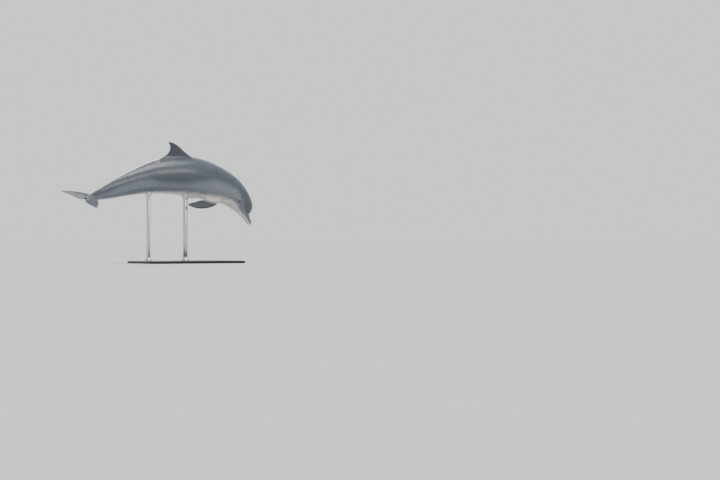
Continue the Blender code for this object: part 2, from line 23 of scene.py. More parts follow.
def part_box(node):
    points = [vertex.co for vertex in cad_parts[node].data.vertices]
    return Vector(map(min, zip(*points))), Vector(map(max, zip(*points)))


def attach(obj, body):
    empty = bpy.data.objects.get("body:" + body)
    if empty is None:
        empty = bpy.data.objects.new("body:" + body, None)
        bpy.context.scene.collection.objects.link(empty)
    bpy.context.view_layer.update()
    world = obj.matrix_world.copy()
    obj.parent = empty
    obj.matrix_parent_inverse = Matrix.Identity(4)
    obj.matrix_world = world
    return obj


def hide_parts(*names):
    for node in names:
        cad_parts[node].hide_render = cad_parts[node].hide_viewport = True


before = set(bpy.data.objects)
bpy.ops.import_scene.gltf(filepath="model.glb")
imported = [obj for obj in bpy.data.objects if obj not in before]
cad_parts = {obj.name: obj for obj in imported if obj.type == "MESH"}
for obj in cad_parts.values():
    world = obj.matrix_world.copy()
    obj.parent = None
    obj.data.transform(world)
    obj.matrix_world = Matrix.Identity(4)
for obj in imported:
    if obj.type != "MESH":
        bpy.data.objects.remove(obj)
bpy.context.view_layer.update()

# %% [markdown]
# ## The anatomy
#
# A dolphin is easiest to shape straight, as on a drawing board, and to bend afterwards.
# So the body is first described along a straight line that runs backwards from the tip of
# the beak. At named places the tables give the height of the back, of the side line and
# of the belly, and half the width, all as shares of the whole length. A smooth curve
# through them gives every place in between.

# %% The tables of the straight body
LENGTH = 2.60
PROFILE = {
    "beak tip": (0.000, 0.0075, -0.0025, -0.0140, 0.0125),
    "beak middle": (0.025, 0.0105, -0.0030, -0.0165, 0.0180),
    "beak base": (0.048, 0.0190, -0.0040, -0.0190, 0.0245),
    "cheek front": (0.075, 0.0220, -0.0075, -0.0255, 0.0385),
    "cheek": (0.100, 0.0330, -0.0090, -0.0345, 0.0490),
    "gape": (0.118, 0.0450, -0.0045, -0.0405, 0.0545),
    "eye": (0.137, 0.0580, 0.0015, -0.0470, 0.0590),
    "nape": (0.170, 0.0735, 0.0060, -0.0590, 0.0625),
    "neck": (0.220, 0.0820, 0.0050, -0.0735, 0.0690),
    "shoulder": (0.280, 0.0885, 0.0030, -0.0835, 0.0770),
    "chest": (0.350, 0.0935, 0.0020, -0.0895, 0.0820),
    "middle": (0.420, 0.0950, 0.0020, -0.0905, 0.0835),
    "loin": (0.500, 0.0915, 0.0030, -0.0865, 0.0800),
    "rump": (0.580, 0.0830, 0.0030, -0.0770, 0.0690),
    "vent": (0.660, 0.0700, 0.0030, -0.0645, 0.0545),
    "tail root": (0.740, 0.0580, 0.0020, -0.0515, 0.0405),
    "tail stock": (0.820, 0.0475, 0.0010, -0.0395, 0.0280),
    "stock end": (0.890, 0.0295, 0.0005, -0.0280, 0.0185),
    "fluke root": (0.930, 0.0220, 0.0000, -0.0205, 0.0150),
    "fluke middle": (0.960, 0.0135, 0.0000, -0.0130, 0.0125),
    "fluke notch": (0.985, 0.0075, 0.0000, -0.0075, 0.0100),
}
# The melon, the bulging forehead: place, top above the axis, half width.
MELON = {
    "crease": (0.042, 0.0040, 0.0040),
    "front": (0.047, 0.0275, 0.0140),
    "brow": (0.054, 0.0405, 0.0215),
    "rise": (0.065, 0.0515, 0.0285),
    "dome": (0.080, 0.0590, 0.0350),
    "crown": (0.105, 0.0665, 0.0430),
    "blowhole": (0.135, 0.0710, 0.0510),
    "end": (0.170, 0.0740, 0.0560),
    "sunk": (0.200, 0.0700, 0.0550),
}
MELON_FULLNESS = 2.35
MELON_BLEND = 0.004
# How square the upper and the lower half of a section is: 2 is an ellipse.
FULLNESS = {
    "beak tip": (0.00, 2.00, 2.00),
    "beak base": (0.05, 1.95, 2.20),
    "gape": (0.12, 2.05, 2.20),
    "chest": (0.30, 2.10, 2.15),
    "loin": (0.55, 2.00, 2.05),
    "tail root": (0.75, 1.75, 1.80),
    "stock end": (0.90, 1.60, 1.60),
    "fluke notch": (0.985, 1.80, 1.80),
}
SNOUT_ROUNDING = 0.012
UNDERBITE = 0.006
UNDERBITE_REACH = 0.030
LIP_SOFTNESS = 0.3
NOTCH_ROUNDING = 0.012
BODY_END = PROFILE["fluke notch"][0]
print("body stations", len(PROFILE), "melon stations", len(MELON))

# %% The curve through a table
def curve(table, places):
    """Smooth curve through the table's rows, whose first column is the place."""
    rows = np.array(list(table.values()) if isinstance(table, dict) else table, float)
    knots, values = rows[:, 0], rows[:, 1:]
    steps = np.diff(knots)[:, None]
    slopes = np.diff(values, axis=0) / steps
    tangents = np.empty_like(values)
    tangents[0], tangents[-1] = slopes[0], slopes[-1]
    tangents[1:-1] = (slopes[:-1] * steps[1:] + slopes[1:] * steps[:-1]) / (steps[1:] + steps[:-1])
    places = np.clip(np.atleast_1d(np.asarray(places, float)), knots[0], knots[-1])
    left = np.clip(np.searchsorted(knots, places, side="right") - 1, 0, len(knots) - 2)
    step = steps[left]
    t = (places[:, None] - knots[left][:, None]) / step
    return (
        (2 * t**3 - 3 * t**2 + 1) * values[left]
        + (t**3 - 2 * t**2 + t) * step * tangents[left]
        + (3 * t**2 - 2 * t**3) * values[left + 1]
        + (t**3 - t**2) * step * tangents[left + 1]
    )


def superellipse(angle, half_width, height, fullness):
    across = np.abs(np.cos(angle)) / half_width
    upward = np.abs(np.sin(angle)) / height
    return (across**fullness + upward**fullness) ** (-1 / fullness)


def smooth_max(first, second, softness):
    overlap = np.maximum(softness - np.abs(first - second), 0)
    return np.maximum(first, second) + overlap**2 / (4 * softness)


def smoothstep(value, start, end):
    t = np.clip((value - start) / (end - start), 0, 1)
    return t * t * (3 - 2 * t)


def between(value, low, high):
    return (value > low) & (value < high)


middle_back, *_ = curve(PROFILE, PROFILE["middle"][0])[0]
print("the back stands", round(middle_back * LENGTH, 3), "m over the axis at the middle")

# %% The flesh round the axis
def radii(place, angle):
    """Radius of the plain body and of the melon around the side line, as shares of the length."""
    back, side, belly, half_width = curve(PROFILE, place).T
    upper, lower = curve(FULLNESS, place).T
    up = np.sin(angle) >= 0
    plain = np.where(
        up,
        superellipse(angle, half_width, back - side, upper),
        superellipse(angle, half_width, side - belly, lower),
    )
    top, width = curve(MELON, place).T
    melon = superellipse(angle, width, top - side, MELON_FULLNESS)
    in_melon = up & between(place, MELON["crease"][0], MELON["sunk"][0])
    return plain, np.where(in_melon, melon, 0.0), side


def rounding(place, length):
    """Closes a round end: 0 at the end itself, 1 from the given length on."""
    return np.sqrt(1 - np.clip(1 - place / length, 0, 1) ** 2)


def underbite(place, angle):
    """How far the lower jaw's front reaches forward, in metres."""
    low = -np.sin(angle) * rounding(place, SNOUT_ROUNDING)
    lower_jaw = smoothstep(low, -LIP_SOFTNESS, LIP_SOFTNESS)
    return UNDERBITE * np.clip(1 - place / UNDERBITE_REACH, 0, 1) ** 2 * lower_jaw


def flesh(place, angle):
    """Points of the straight body's surface in metres: 0 is the left side line, 90 the back."""
    plain, melon, side = radii(place, angle)
    radius = np.where(melon > 0, smooth_max(plain, melon, MELON_BLEND), plain) * LENGTH
    radius *= rounding(place, SNOUT_ROUNDING) * rounding(BODY_END - place, NOTCH_ROUNDING)
    along = place * LENGTH - underbite(place, angle)
    return np.stack(
        [along, radius * np.cos(angle), side * LENGTH + radius * np.sin(angle)], axis=1
    )


snout = flesh(np.array([0.0]), np.array([0.0]))[0]
print("the straight body starts at", np.round(snout, 4))

# %% [markdown]
# ## The fins
#
# A fin is a wing: a rounded front edge, the greatest thickness a third of the way back and
# a thin rear edge. Each fin has an outline, which gives its front and rear edge at shares
# of its span, and a thickness. The dorsal fin stands on the back, the flippers sweep back
# and down from the chest, and the flukes lie flat at the tail's end.

# %% The fins' outlines and sizes
# An outline's rows: share of the span, leading edge, trailing edge. It starts inside the body.
FIN_FOOT = -0.12
DORSAL_HEIGHT = 0.083
DORSAL_BASE = 0.490
DORSAL_OUTLINE = [
    (FIN_FOOT, 0.398, 0.610),
    (0.00, 0.413, 0.578),
    (0.12, 0.429, 0.556),
    (0.32, 0.451, 0.5390),
    (0.55, 0.474, 0.5345),
    (0.75, 0.496, 0.5375),
    (0.90, 0.518, 0.5450),
    (1.00, 0.540, 0.5540),
]
FLIPPER_SPAN = 0.150
FLIPPER_BASE = 0.262
FLIPPER_ROOT_DEPTH = 0.95
FLIPPER_ROOT_ANGLE = math.radians(-48)
FLIPPER_SWEEP = math.radians(48)
FLIPPER_DROOP = math.radians(58)
FLIPPER_OUTLINE = [
    (FIN_FOOT, -0.030, 0.034),
    (0.00, -0.0310, 0.0300),
    (0.15, -0.0315, 0.0245),
    (0.30, -0.0305, 0.0225),
    (0.50, -0.0245, 0.0210),
    (0.70, -0.0140, 0.0200),
    (0.85, -0.0010, 0.0235),
    (0.95, 0.0095, 0.0255),
    (1.00, 0.0145, 0.0265),
]
FLUKE_SPAN = 0.110
FLUKE_OUTLINE = [
    (FIN_FOOT, 0.9130, 0.9740),
    (0.00, 0.9200, 0.9805),
    (0.12, 0.9250, 0.9915),
    (0.30, 0.9370, 0.9985),
    (0.50, 0.9540, 1.0035),
    (0.70, 0.9755, 1.0100),
    (0.85, 0.9955, 1.0180),
    (0.95, 1.0115, 1.0250),
    (1.00, 1.0225, 1.0295),
]
FLUKE_CURL = {1: math.radians(7.5), -1: math.radians(12.5)}
TIP_ROUNDING = 0.10
EDGE_HALF_THICKNESS = 0.0012
EDGE_SLOPE = 4
# Factors of a wing's thickness: square root of the chord's share, then its powers 1 to 4.
WING_SECTION = (2.97, -1.26, -3.52, 2.84, -1.03)
# Thickness over half the chord: at the root and at the tip.
FLIPPER_THICKNESS = (0.30, 0.16)
FLUKE_THICKNESS = (0.26, 0.16)
DORSAL_THICKNESS, DORSAL_ROOT_SWELL, DORSAL_SWELL_REACH = 0.16, 0.10, 0.25
for name, span in (("dorsal", DORSAL_HEIGHT), ("flipper", FLIPPER_SPAN), ("fluke", FLUKE_SPAN)):
    print(name, "span", round(span * LENGTH, 3), "m")

# %% The section of a fin
def fin_section(outline, thickness, share, angle):
    """Place along the body and thickness, in metres, of points of a fin's section. The angle
    turns from the leading edge (0) to the trailing edge (pi)."""
    leading, trailing = curve(outline, share).T
    tip = np.clip((share - (1 - TIP_ROUNDING)) / TIP_ROUNDING, 0, 1)
    closing = np.sqrt(np.maximum(1 - tip**2, 0))
    middle, half_chord = (leading + trailing) / 2, (trailing - leading) / 2
    along = middle - half_chord * closing * np.cos(angle)
    chord = (1 - np.cos(angle)) / 2
    powers = (np.sqrt(chord), chord, chord**2, chord**3, chord**4)
    wing = sum(factor * power for factor, power in zip(WING_SECTION, powers))
    thick = np.maximum(thickness(share) * half_chord * LENGTH * wing, EDGE_HALF_THICKNESS) * closing
    thick = thick * np.clip(np.abs(np.sin(angle)) * EDGE_SLOPE, 0, 1) * np.sign(np.sin(angle))
    return along * LENGTH, thick


def dorsal_thickness(share):
    swell = np.clip(1 - share / DORSAL_SWELL_REACH, 0, 2) ** 2
    return DORSAL_THICKNESS + DORSAL_ROOT_SWELL * swell


def tapering(root, tip):
    """A thickness that falls evenly from root to tip."""
    return lambda share: root + (tip - root) * np.clip(share, 0, 1)


thickest = fin_section(DORSAL_OUTLINE, dorsal_thickness, np.array([0.5]), np.array([math.pi / 2]))[1]
print("the dorsal fin is", round(2000 * float(thickest[0]), 1), "mm thick at half its height")

# %% Laying the fins out on the body
def dorsal_points(along, out, thick):
    top = curve(PROFILE, [DORSAL_BASE])[0, 0] * LENGTH
    return np.stack([along, thick, top + out], axis=1)


def flipper_points(side):
    """Lays a flipper's points out from its root on the left (1) or right (-1) flank."""
    angle = FLIPPER_ROOT_ANGLE if side > 0 else math.pi - FLIPPER_ROOT_ANGLE
    surface = flesh(np.array([FLIPPER_BASE]), np.array([angle]))[0]
    centre = np.array([surface[0], 0, curve(PROFILE, [FLIPPER_BASE])[0, 1] * LENGTH])
    root = centre + (surface - centre) * FLIPPER_ROOT_DEPTH
    span = np.array(
        [
            math.sin(FLIPPER_SWEEP),
            side * math.cos(FLIPPER_SWEEP) * math.cos(FLIPPER_DROOP),
            -math.cos(FLIPPER_SWEEP) * math.sin(FLIPPER_DROOP),
        ]
    )
    chord = np.array([1.0, 0, 0]) - span * span[0]
    chord = chord / np.linalg.norm(chord)
    face = np.cross(span, chord)

    def lay_out(along, out, thick):
        return root + np.outer(out, span) + np.outer(along, chord) + np.outer(thick, face)

    return lay_out


def fluke_points(side):
    def lay_out(along, out, thick):
        lift = np.sign(out) * out**2 / (FLUKE_SPAN * LENGTH) * math.tan(FLUKE_CURL[side])
        return np.stack([along, side * out, thick + np.maximum(lift, 0)], axis=1)

    return lay_out


tip = flipper_points(1)(np.zeros(1), np.array([FLIPPER_SPAN * LENGTH]), np.zeros(1))[0]
print("left flipper tip on the straight body", np.round(tip, 3))

# %% [markdown]
# ## The pose
#
# The spine is a line with a direction at each place: how far it points up, how far it
# turns to the left and how far it rolls to the right. Flesh bends with it, and so do the
# flukes, which grow from its end. The dorsal fin and the flippers are stiff: beyond a
# hand's breadth out of the skin, such a fin is carried whole by one place of the spine. An
# armature could do the same, but a formula also tells where a scar or an eye ends up.

# %% The spine
# Place, then degrees: up, to the left, and rolled to the right.
SPINE = [
    (-0.050, -51.6, -3.2, 13.0),
    (0.125, -51.6, -3.2, 13.0),
    (0.150, -49.0, -3.2, 13.8),
    (0.210, -30.0, -3.3, 16.8),
    (0.320, -17.0, -3.5, 21.7),
    (0.500, 2.6, -3.6, 27.4),
    (0.750, 18.4, 1.6, 27.0),
    (0.930, 15.7, 16.5, 25.2),
    (0.965, 19.4, 16.5, 25.2),
    (1.080, 19.4, 16.5, 25.2),
]
SPINE_REFERENCE = 0.42
SPINE_STEPS = 260
STIFFENING = (0.004, 0.090)
END_MARGIN = 0.001


def directions(places):
    """The spine's forward, left and up directions at each place."""
    pitch, yaw, roll = np.radians(curve(SPINE, places)).T
    forward = np.stack(
        [np.cos(pitch) * np.cos(yaw), np.cos(pitch) * np.sin(yaw), np.sin(pitch)], axis=1
    )
    level = np.stack([-np.sin(yaw), np.cos(yaw), np.zeros_like(yaw)], axis=1)
    upright = np.cross(forward, level)
    cosine, sine = np.cos(roll)[:, None], np.sin(roll)[:, None]
    return forward, cosine * level + sine * upright, cosine * upright - sine * level


class Spine:
    """Carries points of the straight body into the pose."""

    def __init__(self):
        self.places = np.linspace(SPINE[0][0], SPINE[-1][0], SPINE_STEPS + 1)
        forward = directions(self.places)[0]
        middle = (forward[1:] + forward[:-1]) / 2 * np.diff(self.places)[:, None] * LENGTH
        line = np.concatenate([np.zeros((1, 3)), -np.cumsum(middle, axis=0)])
        self.line = line - self.read(line, np.array([SPINE_REFERENCE]))

    def read(self, line, places):
        return np.stack([np.interp(places, self.places, line[:, k]) for k in range(3)], axis=1)

    def bend(self, points):
        """Each point follows the spine at its own place."""
        places = points[:, 0] / LENGTH
        _, left, up = directions(places)
        return self.read(self.line, places) + points[:, 1:2] * left + points[:, 2:3] * up

    def carry(self, points, place):
        """All points follow the spine at one place, as a stiff fin does."""
        forward, left, up = directions(np.array([place]))
        along = points[:, 0:1] - place * LENGTH
        origin = self.read(self.line, np.array([place]))
        return origin - along * forward + points[:, 1:2] * left + points[:, 2:3] * up


spine = Spine()
print("the spine turns from", SPINE[0][1], "to", SPINE[-1][1], "degrees of pitch")

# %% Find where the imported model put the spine
EYE_RADIUS = 0.0165
EYE_STATION = 0.1380
EYE_RISE = 0.0020
EYE_BULGE = 0.0035
EYE_FORWARD = 0.18


def eye_frame(side):
    """Centre, outward, forward and upward directions of an eyeball in the straight body."""
    half_width = curve(PROFILE, [EYE_STATION])[0, 3]
    angle = math.asin(EYE_RISE / half_width)
    angle = angle if side > 0 else math.pi - angle
    surface = flesh(np.array([EYE_STATION]), np.array([angle]))[0]
    outward = np.array([-EYE_FORWARD, side, 0.0])
    outward /= np.linalg.norm(outward)
    ahead = np.array([-side * outward[1], side * outward[0], 0.0])
    return surface - outward * (EYE_RADIUS - EYE_BULGE), outward, ahead, np.array([0, 0, 1.0])


def packed_centre(node):
    low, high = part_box(node)
    return np.array((low + high) / 2)


posed_eyes = {side: spine.bend(eye_frame(side)[0][None])[0] for side in (1, -1)}
lift = (
    packed_centre("eye_left") - posed_eyes[1] + packed_centre("eye_right") - posed_eyes[-1]
) / 2
print("the spine's reference point is at", np.round(lift, 4))

# %% [markdown]
# ## Camera, floor and light
#
# The dolphin is seen from its right and a little from behind, from just above the floor,
# through a long lens. The camera is level. Its place follows from the spine's reference
# point, so the framing stays right whatever the stand is.
#
# The floor is plain and pale, and the light is that of a small studio: one wide soft
# box above, a softer one from each side, and a pale room all round. Dark wet skin
# shows its shape by the long soft reflections of such boxes. The boxes leave the floor out,
# and one soft sun lights it evenly, so the floor runs into the room with no edge.

# %% Camera
VIEW_AZIMUTH = math.radians(35)
LENS, SENSOR = 85.0, 36.0
ASIDE, AHEAD, ABOVE = -2.104, 20.71, 0.770
SIGHT = 500


def add_camera():
    ahead = Vector((math.sin(VIEW_AZIMUTH), math.cos(VIEW_AZIMUTH), 0))
    right = Vector((ahead.y, -ahead.x, 0))
    place = Vector(lift) - right * ASIDE - ahead * AHEAD - Vector((0, 0, ABOVE))
    bpy.ops.object.camera_add(location=place, rotation=(math.pi / 2, 0, -VIEW_AZIMUTH))
    camera = bpy.context.object
    camera.name = "camera"
    camera.data.lens = LENS
    camera.data.sensor_width = SENSOR
    camera.data.clip_end = SIGHT
    bpy.context.scene.camera = camera
    return camera


camera = add_camera()
print("camera at", [round(v, 3) for v in camera.location])

# %% Floor, room and sun
FLOOR_SIZE = 400
ROOM_BRIGHTNESS = 0.92
ROOM_COLOUR = (0.97, 0.98, 1.0, 1)
FLOOR_PALE = 0.80
SUN_STRENGTH, SUN_SOFTNESS = 1.5, math.radians(35)
SUN_TURN = (math.radians(24), math.radians(-14), 0)
SUN_SHARE = math.cos(SUN_TURN[0]) * math.cos(SUN_TURN[1])
SUN_PLACE = (0, 0, 6)


def add_floor():
    bpy.ops.mesh.primitive_plane_add(size=FLOOR_SIZE, location=(0, 0, 0))
    floor = bpy.context.object
    floor.name = "floor"
    return floor


def light_room():
    world = bpy.data.worlds.new("room")
    world.use_nodes = True
    tree = world.node_tree
    background = tree.nodes["Background"]
    background.inputs["Color"].default_value = ROOM_COLOUR
    # Seen directly, the room is as bright as the far floor, so no horizon shows.
    path = tree.nodes.new("ShaderNodeLightPath")
    strength = tree.nodes.new("ShaderNodeMapRange")
    on_floor = ROOM_BRIGHTNESS + SUN_STRENGTH * SUN_SHARE / math.pi
    strength.inputs["To Min"].default_value = ROOM_BRIGHTNESS
    strength.inputs["To Max"].default_value = FLOOR_PALE * on_floor
    tree.links.new(path.outputs["Is Camera Ray"], strength.inputs["Value"])
    tree.links.new(strength.outputs["Result"], background.inputs["Strength"])
    bpy.context.scene.world = world


def add_sun():
    """One wide soft light over the whole room, so that the floor is even and shows a shadow."""
    bpy.ops.object.light_add(type="SUN", location=SUN_PLACE)
    sun = bpy.context.object
    sun.name = "sun_soft"
    sun.data.energy = SUN_STRENGTH
    sun.data.angle = SUN_SOFTNESS
    sun.rotation_euler = SUN_TURN
    return sun


floor = add_floor()
light_room()
print("lit by", add_sun().name, "and the room")

# %% Soft boxes
LAMP_AIM = (0, 0, 1.0)
# Each soft box: its place, its two sides, its power in watts and its colour.
LAMPS = {
    "lamp_top": ((-0.6, -0.8, 4.6), (4.2, 2.6), 150, (1.0, 0.98, 0.95)),
    "lamp_right": ((0.5, -5.2, 2.6), (3.0, 2.0), 95, (1.0, 0.97, 0.93)),
    "lamp_left": ((0.6, 5.2, 2.8), (3.0, 2.0), 95, (0.94, 0.97, 1.0)),
}


def add_lamp(name, place, sides, power, colour):
    """A soft box that shines from its place towards the aim and isn't seen itself."""
    bpy.ops.object.light_add(type="AREA", location=place)
    lamp = bpy.context.object
    lamp.name = name
    lamp.data.shape = "RECTANGLE"
    lamp.data.size, lamp.data.size_y = sides
    lamp.data.energy = power
    lamp.data.color = colour
    lamp.visible_camera = False
    lamp.rotation_euler = (Vector(LAMP_AIM) - Vector(place)).to_track_quat("-Z", "Y").to_euler()
    return lamp


def keep_off_floor(lamps, floor):
    """The boxes light the model and leave no pool of light on the floor."""
    spared = bpy.data.collections.new("spared_by_boxes")
    spared.objects.link(floor)
    spared.collection_objects[0].light_linking.link_state = "EXCLUDE"
    for lamp in lamps:
        lamp.light_linking.receiver_collection = spared


lamps = [add_lamp(name, *box) for name, box in LAMPS.items()]
keep_off_floor(lamps, floor)
print("lamps", [lamp.name for lamp in lamps])

# %% [markdown]
# ## Handy steps
#
# Modelling by hand is a few moves made over and over: select some faces, go into edit mode,
# do one thing to them, and leave. Shaping by formula needs the mesh's numbers instead, all
# vertices at once and as one array, because a loop over each vertex would be slow. Both are
# short functions here, so the later cells only say what is made.

# %% Handy steps: selecting and editing
SAME_PLACE = 1e-5


def deselect():
    bpy.ops.object.select_all(action="DESELECT")


def activate(piece):
    deselect()
    piece.select_set(True)
    bpy.context.view_layer.objects.active = piece


def edit(piece, kind="FACE"):
    activate(piece)
    bpy.ops.object.mode_set(mode="EDIT")
    bpy.ops.mesh.select_mode(type=kind)


def leave():
    bpy.ops.object.mode_set(mode="OBJECT")


def face_outwards(piece):
    """Turns the faces of a closed piece so that they all look outwards."""
    edit(piece)
    bpy.ops.mesh.select_all(action="SELECT")
    bpy.ops.mesh.normals_make_consistent(inside=False)
    leave()


def select_faces(piece, chosen):
    """Selects these faces and nothing else, so that the next edit acts on them."""
    mesh = piece.data
    mesh.vertices.foreach_set("select", np.zeros(len(mesh.vertices), bool))
    mesh.edges.foreach_set("select", np.zeros(len(mesh.edges), bool))
    mesh.polygons.foreach_set("select", np.asarray(chosen, bool))


def apply_modifier(piece, kind, **settings):
    activate(piece)
    modifier = piece.modifiers.new(kind.title(), kind)
    for key, value in settings.items():
        setattr(modifier, key, value)
    bpy.ops.object.modifier_apply(modifier=modifier.name)


print("editing steps ready")

# %% Handy steps: a mesh's numbers
def read_all(items, field, width=1, kind=float):
    """Reads a field of all vertices, edges or faces, with a row for each where it is wide."""
    values = np.empty(len(items) * width, kind)
    items.foreach_get(field, values)
    return values.reshape(-1, width) if width > 1 else values


def vertices(piece):
    return read_all(piece.data.vertices, "co", 3)


def selected_vertices(piece):
    return np.flatnonzero(read_all(piece.data.vertices, "select", kind=bool))


def outward_normals(piece):
    return read_all(piece.data.vertex_normals, "vector", 3)


def edge_ends(piece):
    return read_all(piece.data.edges, "vertices", 2, np.int32)


def face_centres(piece):
    return read_all(piece.data.polygons, "center", 3)


def face_sizes(piece):
    return np.sqrt(read_all(piece.data.polygons, "area"))


def move_vertices(piece, points):
    piece.data.vertices.foreach_set("co", np.asarray(points, np.float32).reshape(-1))
    piece.data.update()


def keep_values(piece, name, values):
    """Stores one number, or one vector, for each vertex, for the materials to read."""
    values = np.asarray(values, np.float32)
    kind, field = ("FLOAT_VECTOR", "vector") if values.ndim == 2 else ("FLOAT", "value")
    layer = piece.data.attributes.get(name) or piece.data.attributes.new(name, kind, "POINT")
    layer.data.foreach_set(field, values.reshape(-1))


def read_values(piece, name):
    return read_all(piece.data.attributes[name].data, "value", kind=np.float32)


def nearest(points, wanted):
    """Index of the point nearest to each wanted place, and how far off it is."""
    tree = KDTree(len(points))
    for index, point in enumerate(points):
        tree.insert(point, index)
    tree.balance()
    found = [tree.find(place) for place in wanted]
    return np.array([index for _, index, _ in found]), np.array([off for _, _, off in found])


print("measuring steps ready")

# %% [markdown]
# ## The skin, from a ball
#
# A resin skin has no seams, so it is one closed mesh. It starts as a ball with many rings.
# Each ring is moved to a station of the straight body, as a sculptor would pull a ball of
# clay out to a spindle. Rings lie close together on the beak and the forehead, where the
# form changes fast, and further apart on the flanks.

# %% The ball, pulled out to the body
COLUMNS = 56
# Each run of rings: from, to, how many.
RUNS = [
    (0.0, SNOUT_ROUNDING, 6),
    (SNOUT_ROUNDING, 0.042, 8),
    (0.042, 0.066, 9),
    (0.066, 0.170, 20),
    (0.170, 0.900, 88),
    (0.900, 0.973, 11),
    (0.973, BODY_END, 4),
]


def ring_stations():
    places = [0.0]
    for start, end, count in RUNS:
        share = np.arange(1, count + 1) / count
        if start == 0.0:
            share = 1 - np.cos(share * math.pi / 2)
        elif end == BODY_END:
            share = np.sin(share * math.pi / 2)
        places.extend(start + (end - start) * share)
    return np.array(places)


stations = ring_stations()
bpy.ops.mesh.primitive_uv_sphere_add(segments=COLUMNS, ring_count=len(stations) - 1, radius=1)
skin = bpy.context.object
skin.name = "dolphin_skin"
ball = vertices(skin)
ring = np.rint(np.arccos(np.clip(ball[:, 2], -1, 1)) / math.pi * (len(stations) - 1)).astype(int)
around = np.arctan2(ball[:, 1], ball[:, 0])
move_vertices(skin, flesh(stations[ring], around))
print("rings", len(stations), "faces", len(skin.data.polygons))

# %% [markdown]
# ## Growing the fins out of the skin
#
# A fin could be its own mesh pushed into the body, but the seam would show all round. Here
# a patch of the ball's faces is extruded again and again, as in edit mode, and each new
# rim is laid on the next section of the fin. The first rim lies where the fin meets the
# body, which is found by halving the distance to the skin until it is gone.

# %% Helpers for a fin's patch
def height_over_skin(points):
    """Distance of each point from the straight body's surface, measured from its axis."""
    place = np.clip(points[:, 0] / LENGTH, END_MARGIN, BODY_END - END_MARGIN)
    axis = curve(PROFILE, place)[:, 1] * LENGTH
    angle = np.arctan2(points[:, 2] - axis, points[:, 1])
    surface = flesh(place, angle)
    reach = np.hypot(points[:, 1], points[:, 2] - axis)
    return reach - np.hypot(surface[:, 1], surface[:, 2] - axis)


def section_angles(across, along, turn):
    """Angle round the fin's section for each point of a patch, and which points are its rim."""
    i, j = np.meshgrid(np.arange(across + 1), np.arange(along + 1), indexing="ij")
    middle = across / 2
    off = np.abs(i - middle)
    steps = middle + j
    steps = np.where(j == 0, off, steps)
    steps = np.where(j == along, across + along - off, steps)
    rim = (i == 0) | (i == across) | (j == 0) | (j == along)
    side = np.where(i < middle, 1, -1) * turn
    side = np.where((i == middle) & (j == along), 1, side)
    return math.pi * steps / (across + along) * side, rim


def fill_patch(grid, rim):
    """Spaces the points inside a patch evenly between the two sides of its rim."""
    across = grid.shape[0] - 1
    for i in range(1, across):
        share = i / across
        inner = (1 - share) * grid[0] + share * grid[-1]
        grid[i] = np.where(rim[i][:, None], grid[i], inner)
    return grid


def matching(points, wanted):
    """Index of the point at each wanted place."""
    owners, off = nearest(points, wanted.reshape(-1, 3))
    assert off.max() < SAME_PLACE
    return owners


def ring_at(place):
    return int(np.argmin(np.abs(stations - place)))


print("a dorsal patch starts at ring", ring_at(DORSAL_OUTLINE[1][1]))

# %% Growing a fin
ROOT_SEARCH = 0.6
HALVINGS = 30
TIP_SHARE = 0.998


def fin_shares(loops, first=0.0):
    """Shares of the span, closer together towards the tip."""
    steps = np.arange(1, loops + 1) / loops
    return [first, *(TIP_SHARE * np.sin(steps * math.pi / 2))]


def root_shares(fin_points, shape):
    """Shares of the span at which a fin's points come out of the body."""
    low, high = np.full(shape, FIN_FOOT), np.full(shape, ROOT_SEARCH)
    for _ in range(HALVINGS):
        middle = (low + high) / 2
        inside = height_over_skin(fin_points(middle).reshape(-1, 3)).reshape(shape) < 0
        low, high = np.where(inside, middle, low), np.where(inside, high, middle)
    return low


def grow_fin(fin, reach, first_column, columns, turn, shares):
    """Extrudes a patch of the skin through the fin's sections and returns its first rim. The
    patch reaches between two places of the body, and its rim turns one way or the other."""
    outline, thickness, span, lay_out = fin
    first_ring = ring_at(reach[0])
    rings = ring_at(reach[1]) - first_ring
    angles, rim = section_angles(columns, rings, turn)

    def fin_points(share):
        share = np.broadcast_to(share, angles.shape)
        along, thick = fin_section(outline, thickness, share.reshape(-1), angles.reshape(-1))
        points = lay_out(along, (share * span * LENGTH).reshape(-1), thick)
        return points.reshape(*angles.shape, 3)

    i, j = np.meshgrid(np.arange(columns + 1), np.arange(rings + 1), indexing="ij")
    turned = 2 * math.pi * (first_column + i) / COLUMNS
    patch = flesh(stations[first_ring + j].reshape(-1), turned.reshape(-1))
    root = np.maximum(root_shares(fin_points, angles.shape), shares[0])
    grid = fill_patch(fin_points(root), rim)
    rim_points = grid[rim]
    points = vertices(skin)
    owners = matching(points, patch)
    inside = np.zeros(len(points), bool)
    inside[owners] = True
    corners = [inside[list(face.vertices)].all() for face in skin.data.polygons]
    select_faces(skin, corners)
    points[owners] = grid.reshape(-1, 3)
    move_vertices(skin, points)
    for step in shares[1:]:
        edit(skin)
        bpy.ops.mesh.extrude_region_move(TRANSFORM_OT_translate={"value": (0, 0, 0)})
        leave()
        chosen = selected_vertices(skin)
        points = vertices(skin)
        owners = chosen[matching(points[chosen], grid)]
        grid = fill_patch(fin_points(root + (1 - root) * step), rim)
        points[owners] = grid.reshape(-1, 3)
        move_vertices(skin, points)
    return rim_points


print("shares of the span for three loops", np.round(fin_shares(3), 2))

# %% Grow the five fins
def flipper(side):
    return FLIPPER_OUTLINE, tapering(*FLIPPER_THICKNESS), FLIPPER_SPAN, flipper_points(side)


def fluke(side):
    return FLUKE_OUTLINE, tapering(*FLUKE_THICKNESS), FLUKE_SPAN, fluke_points(side)


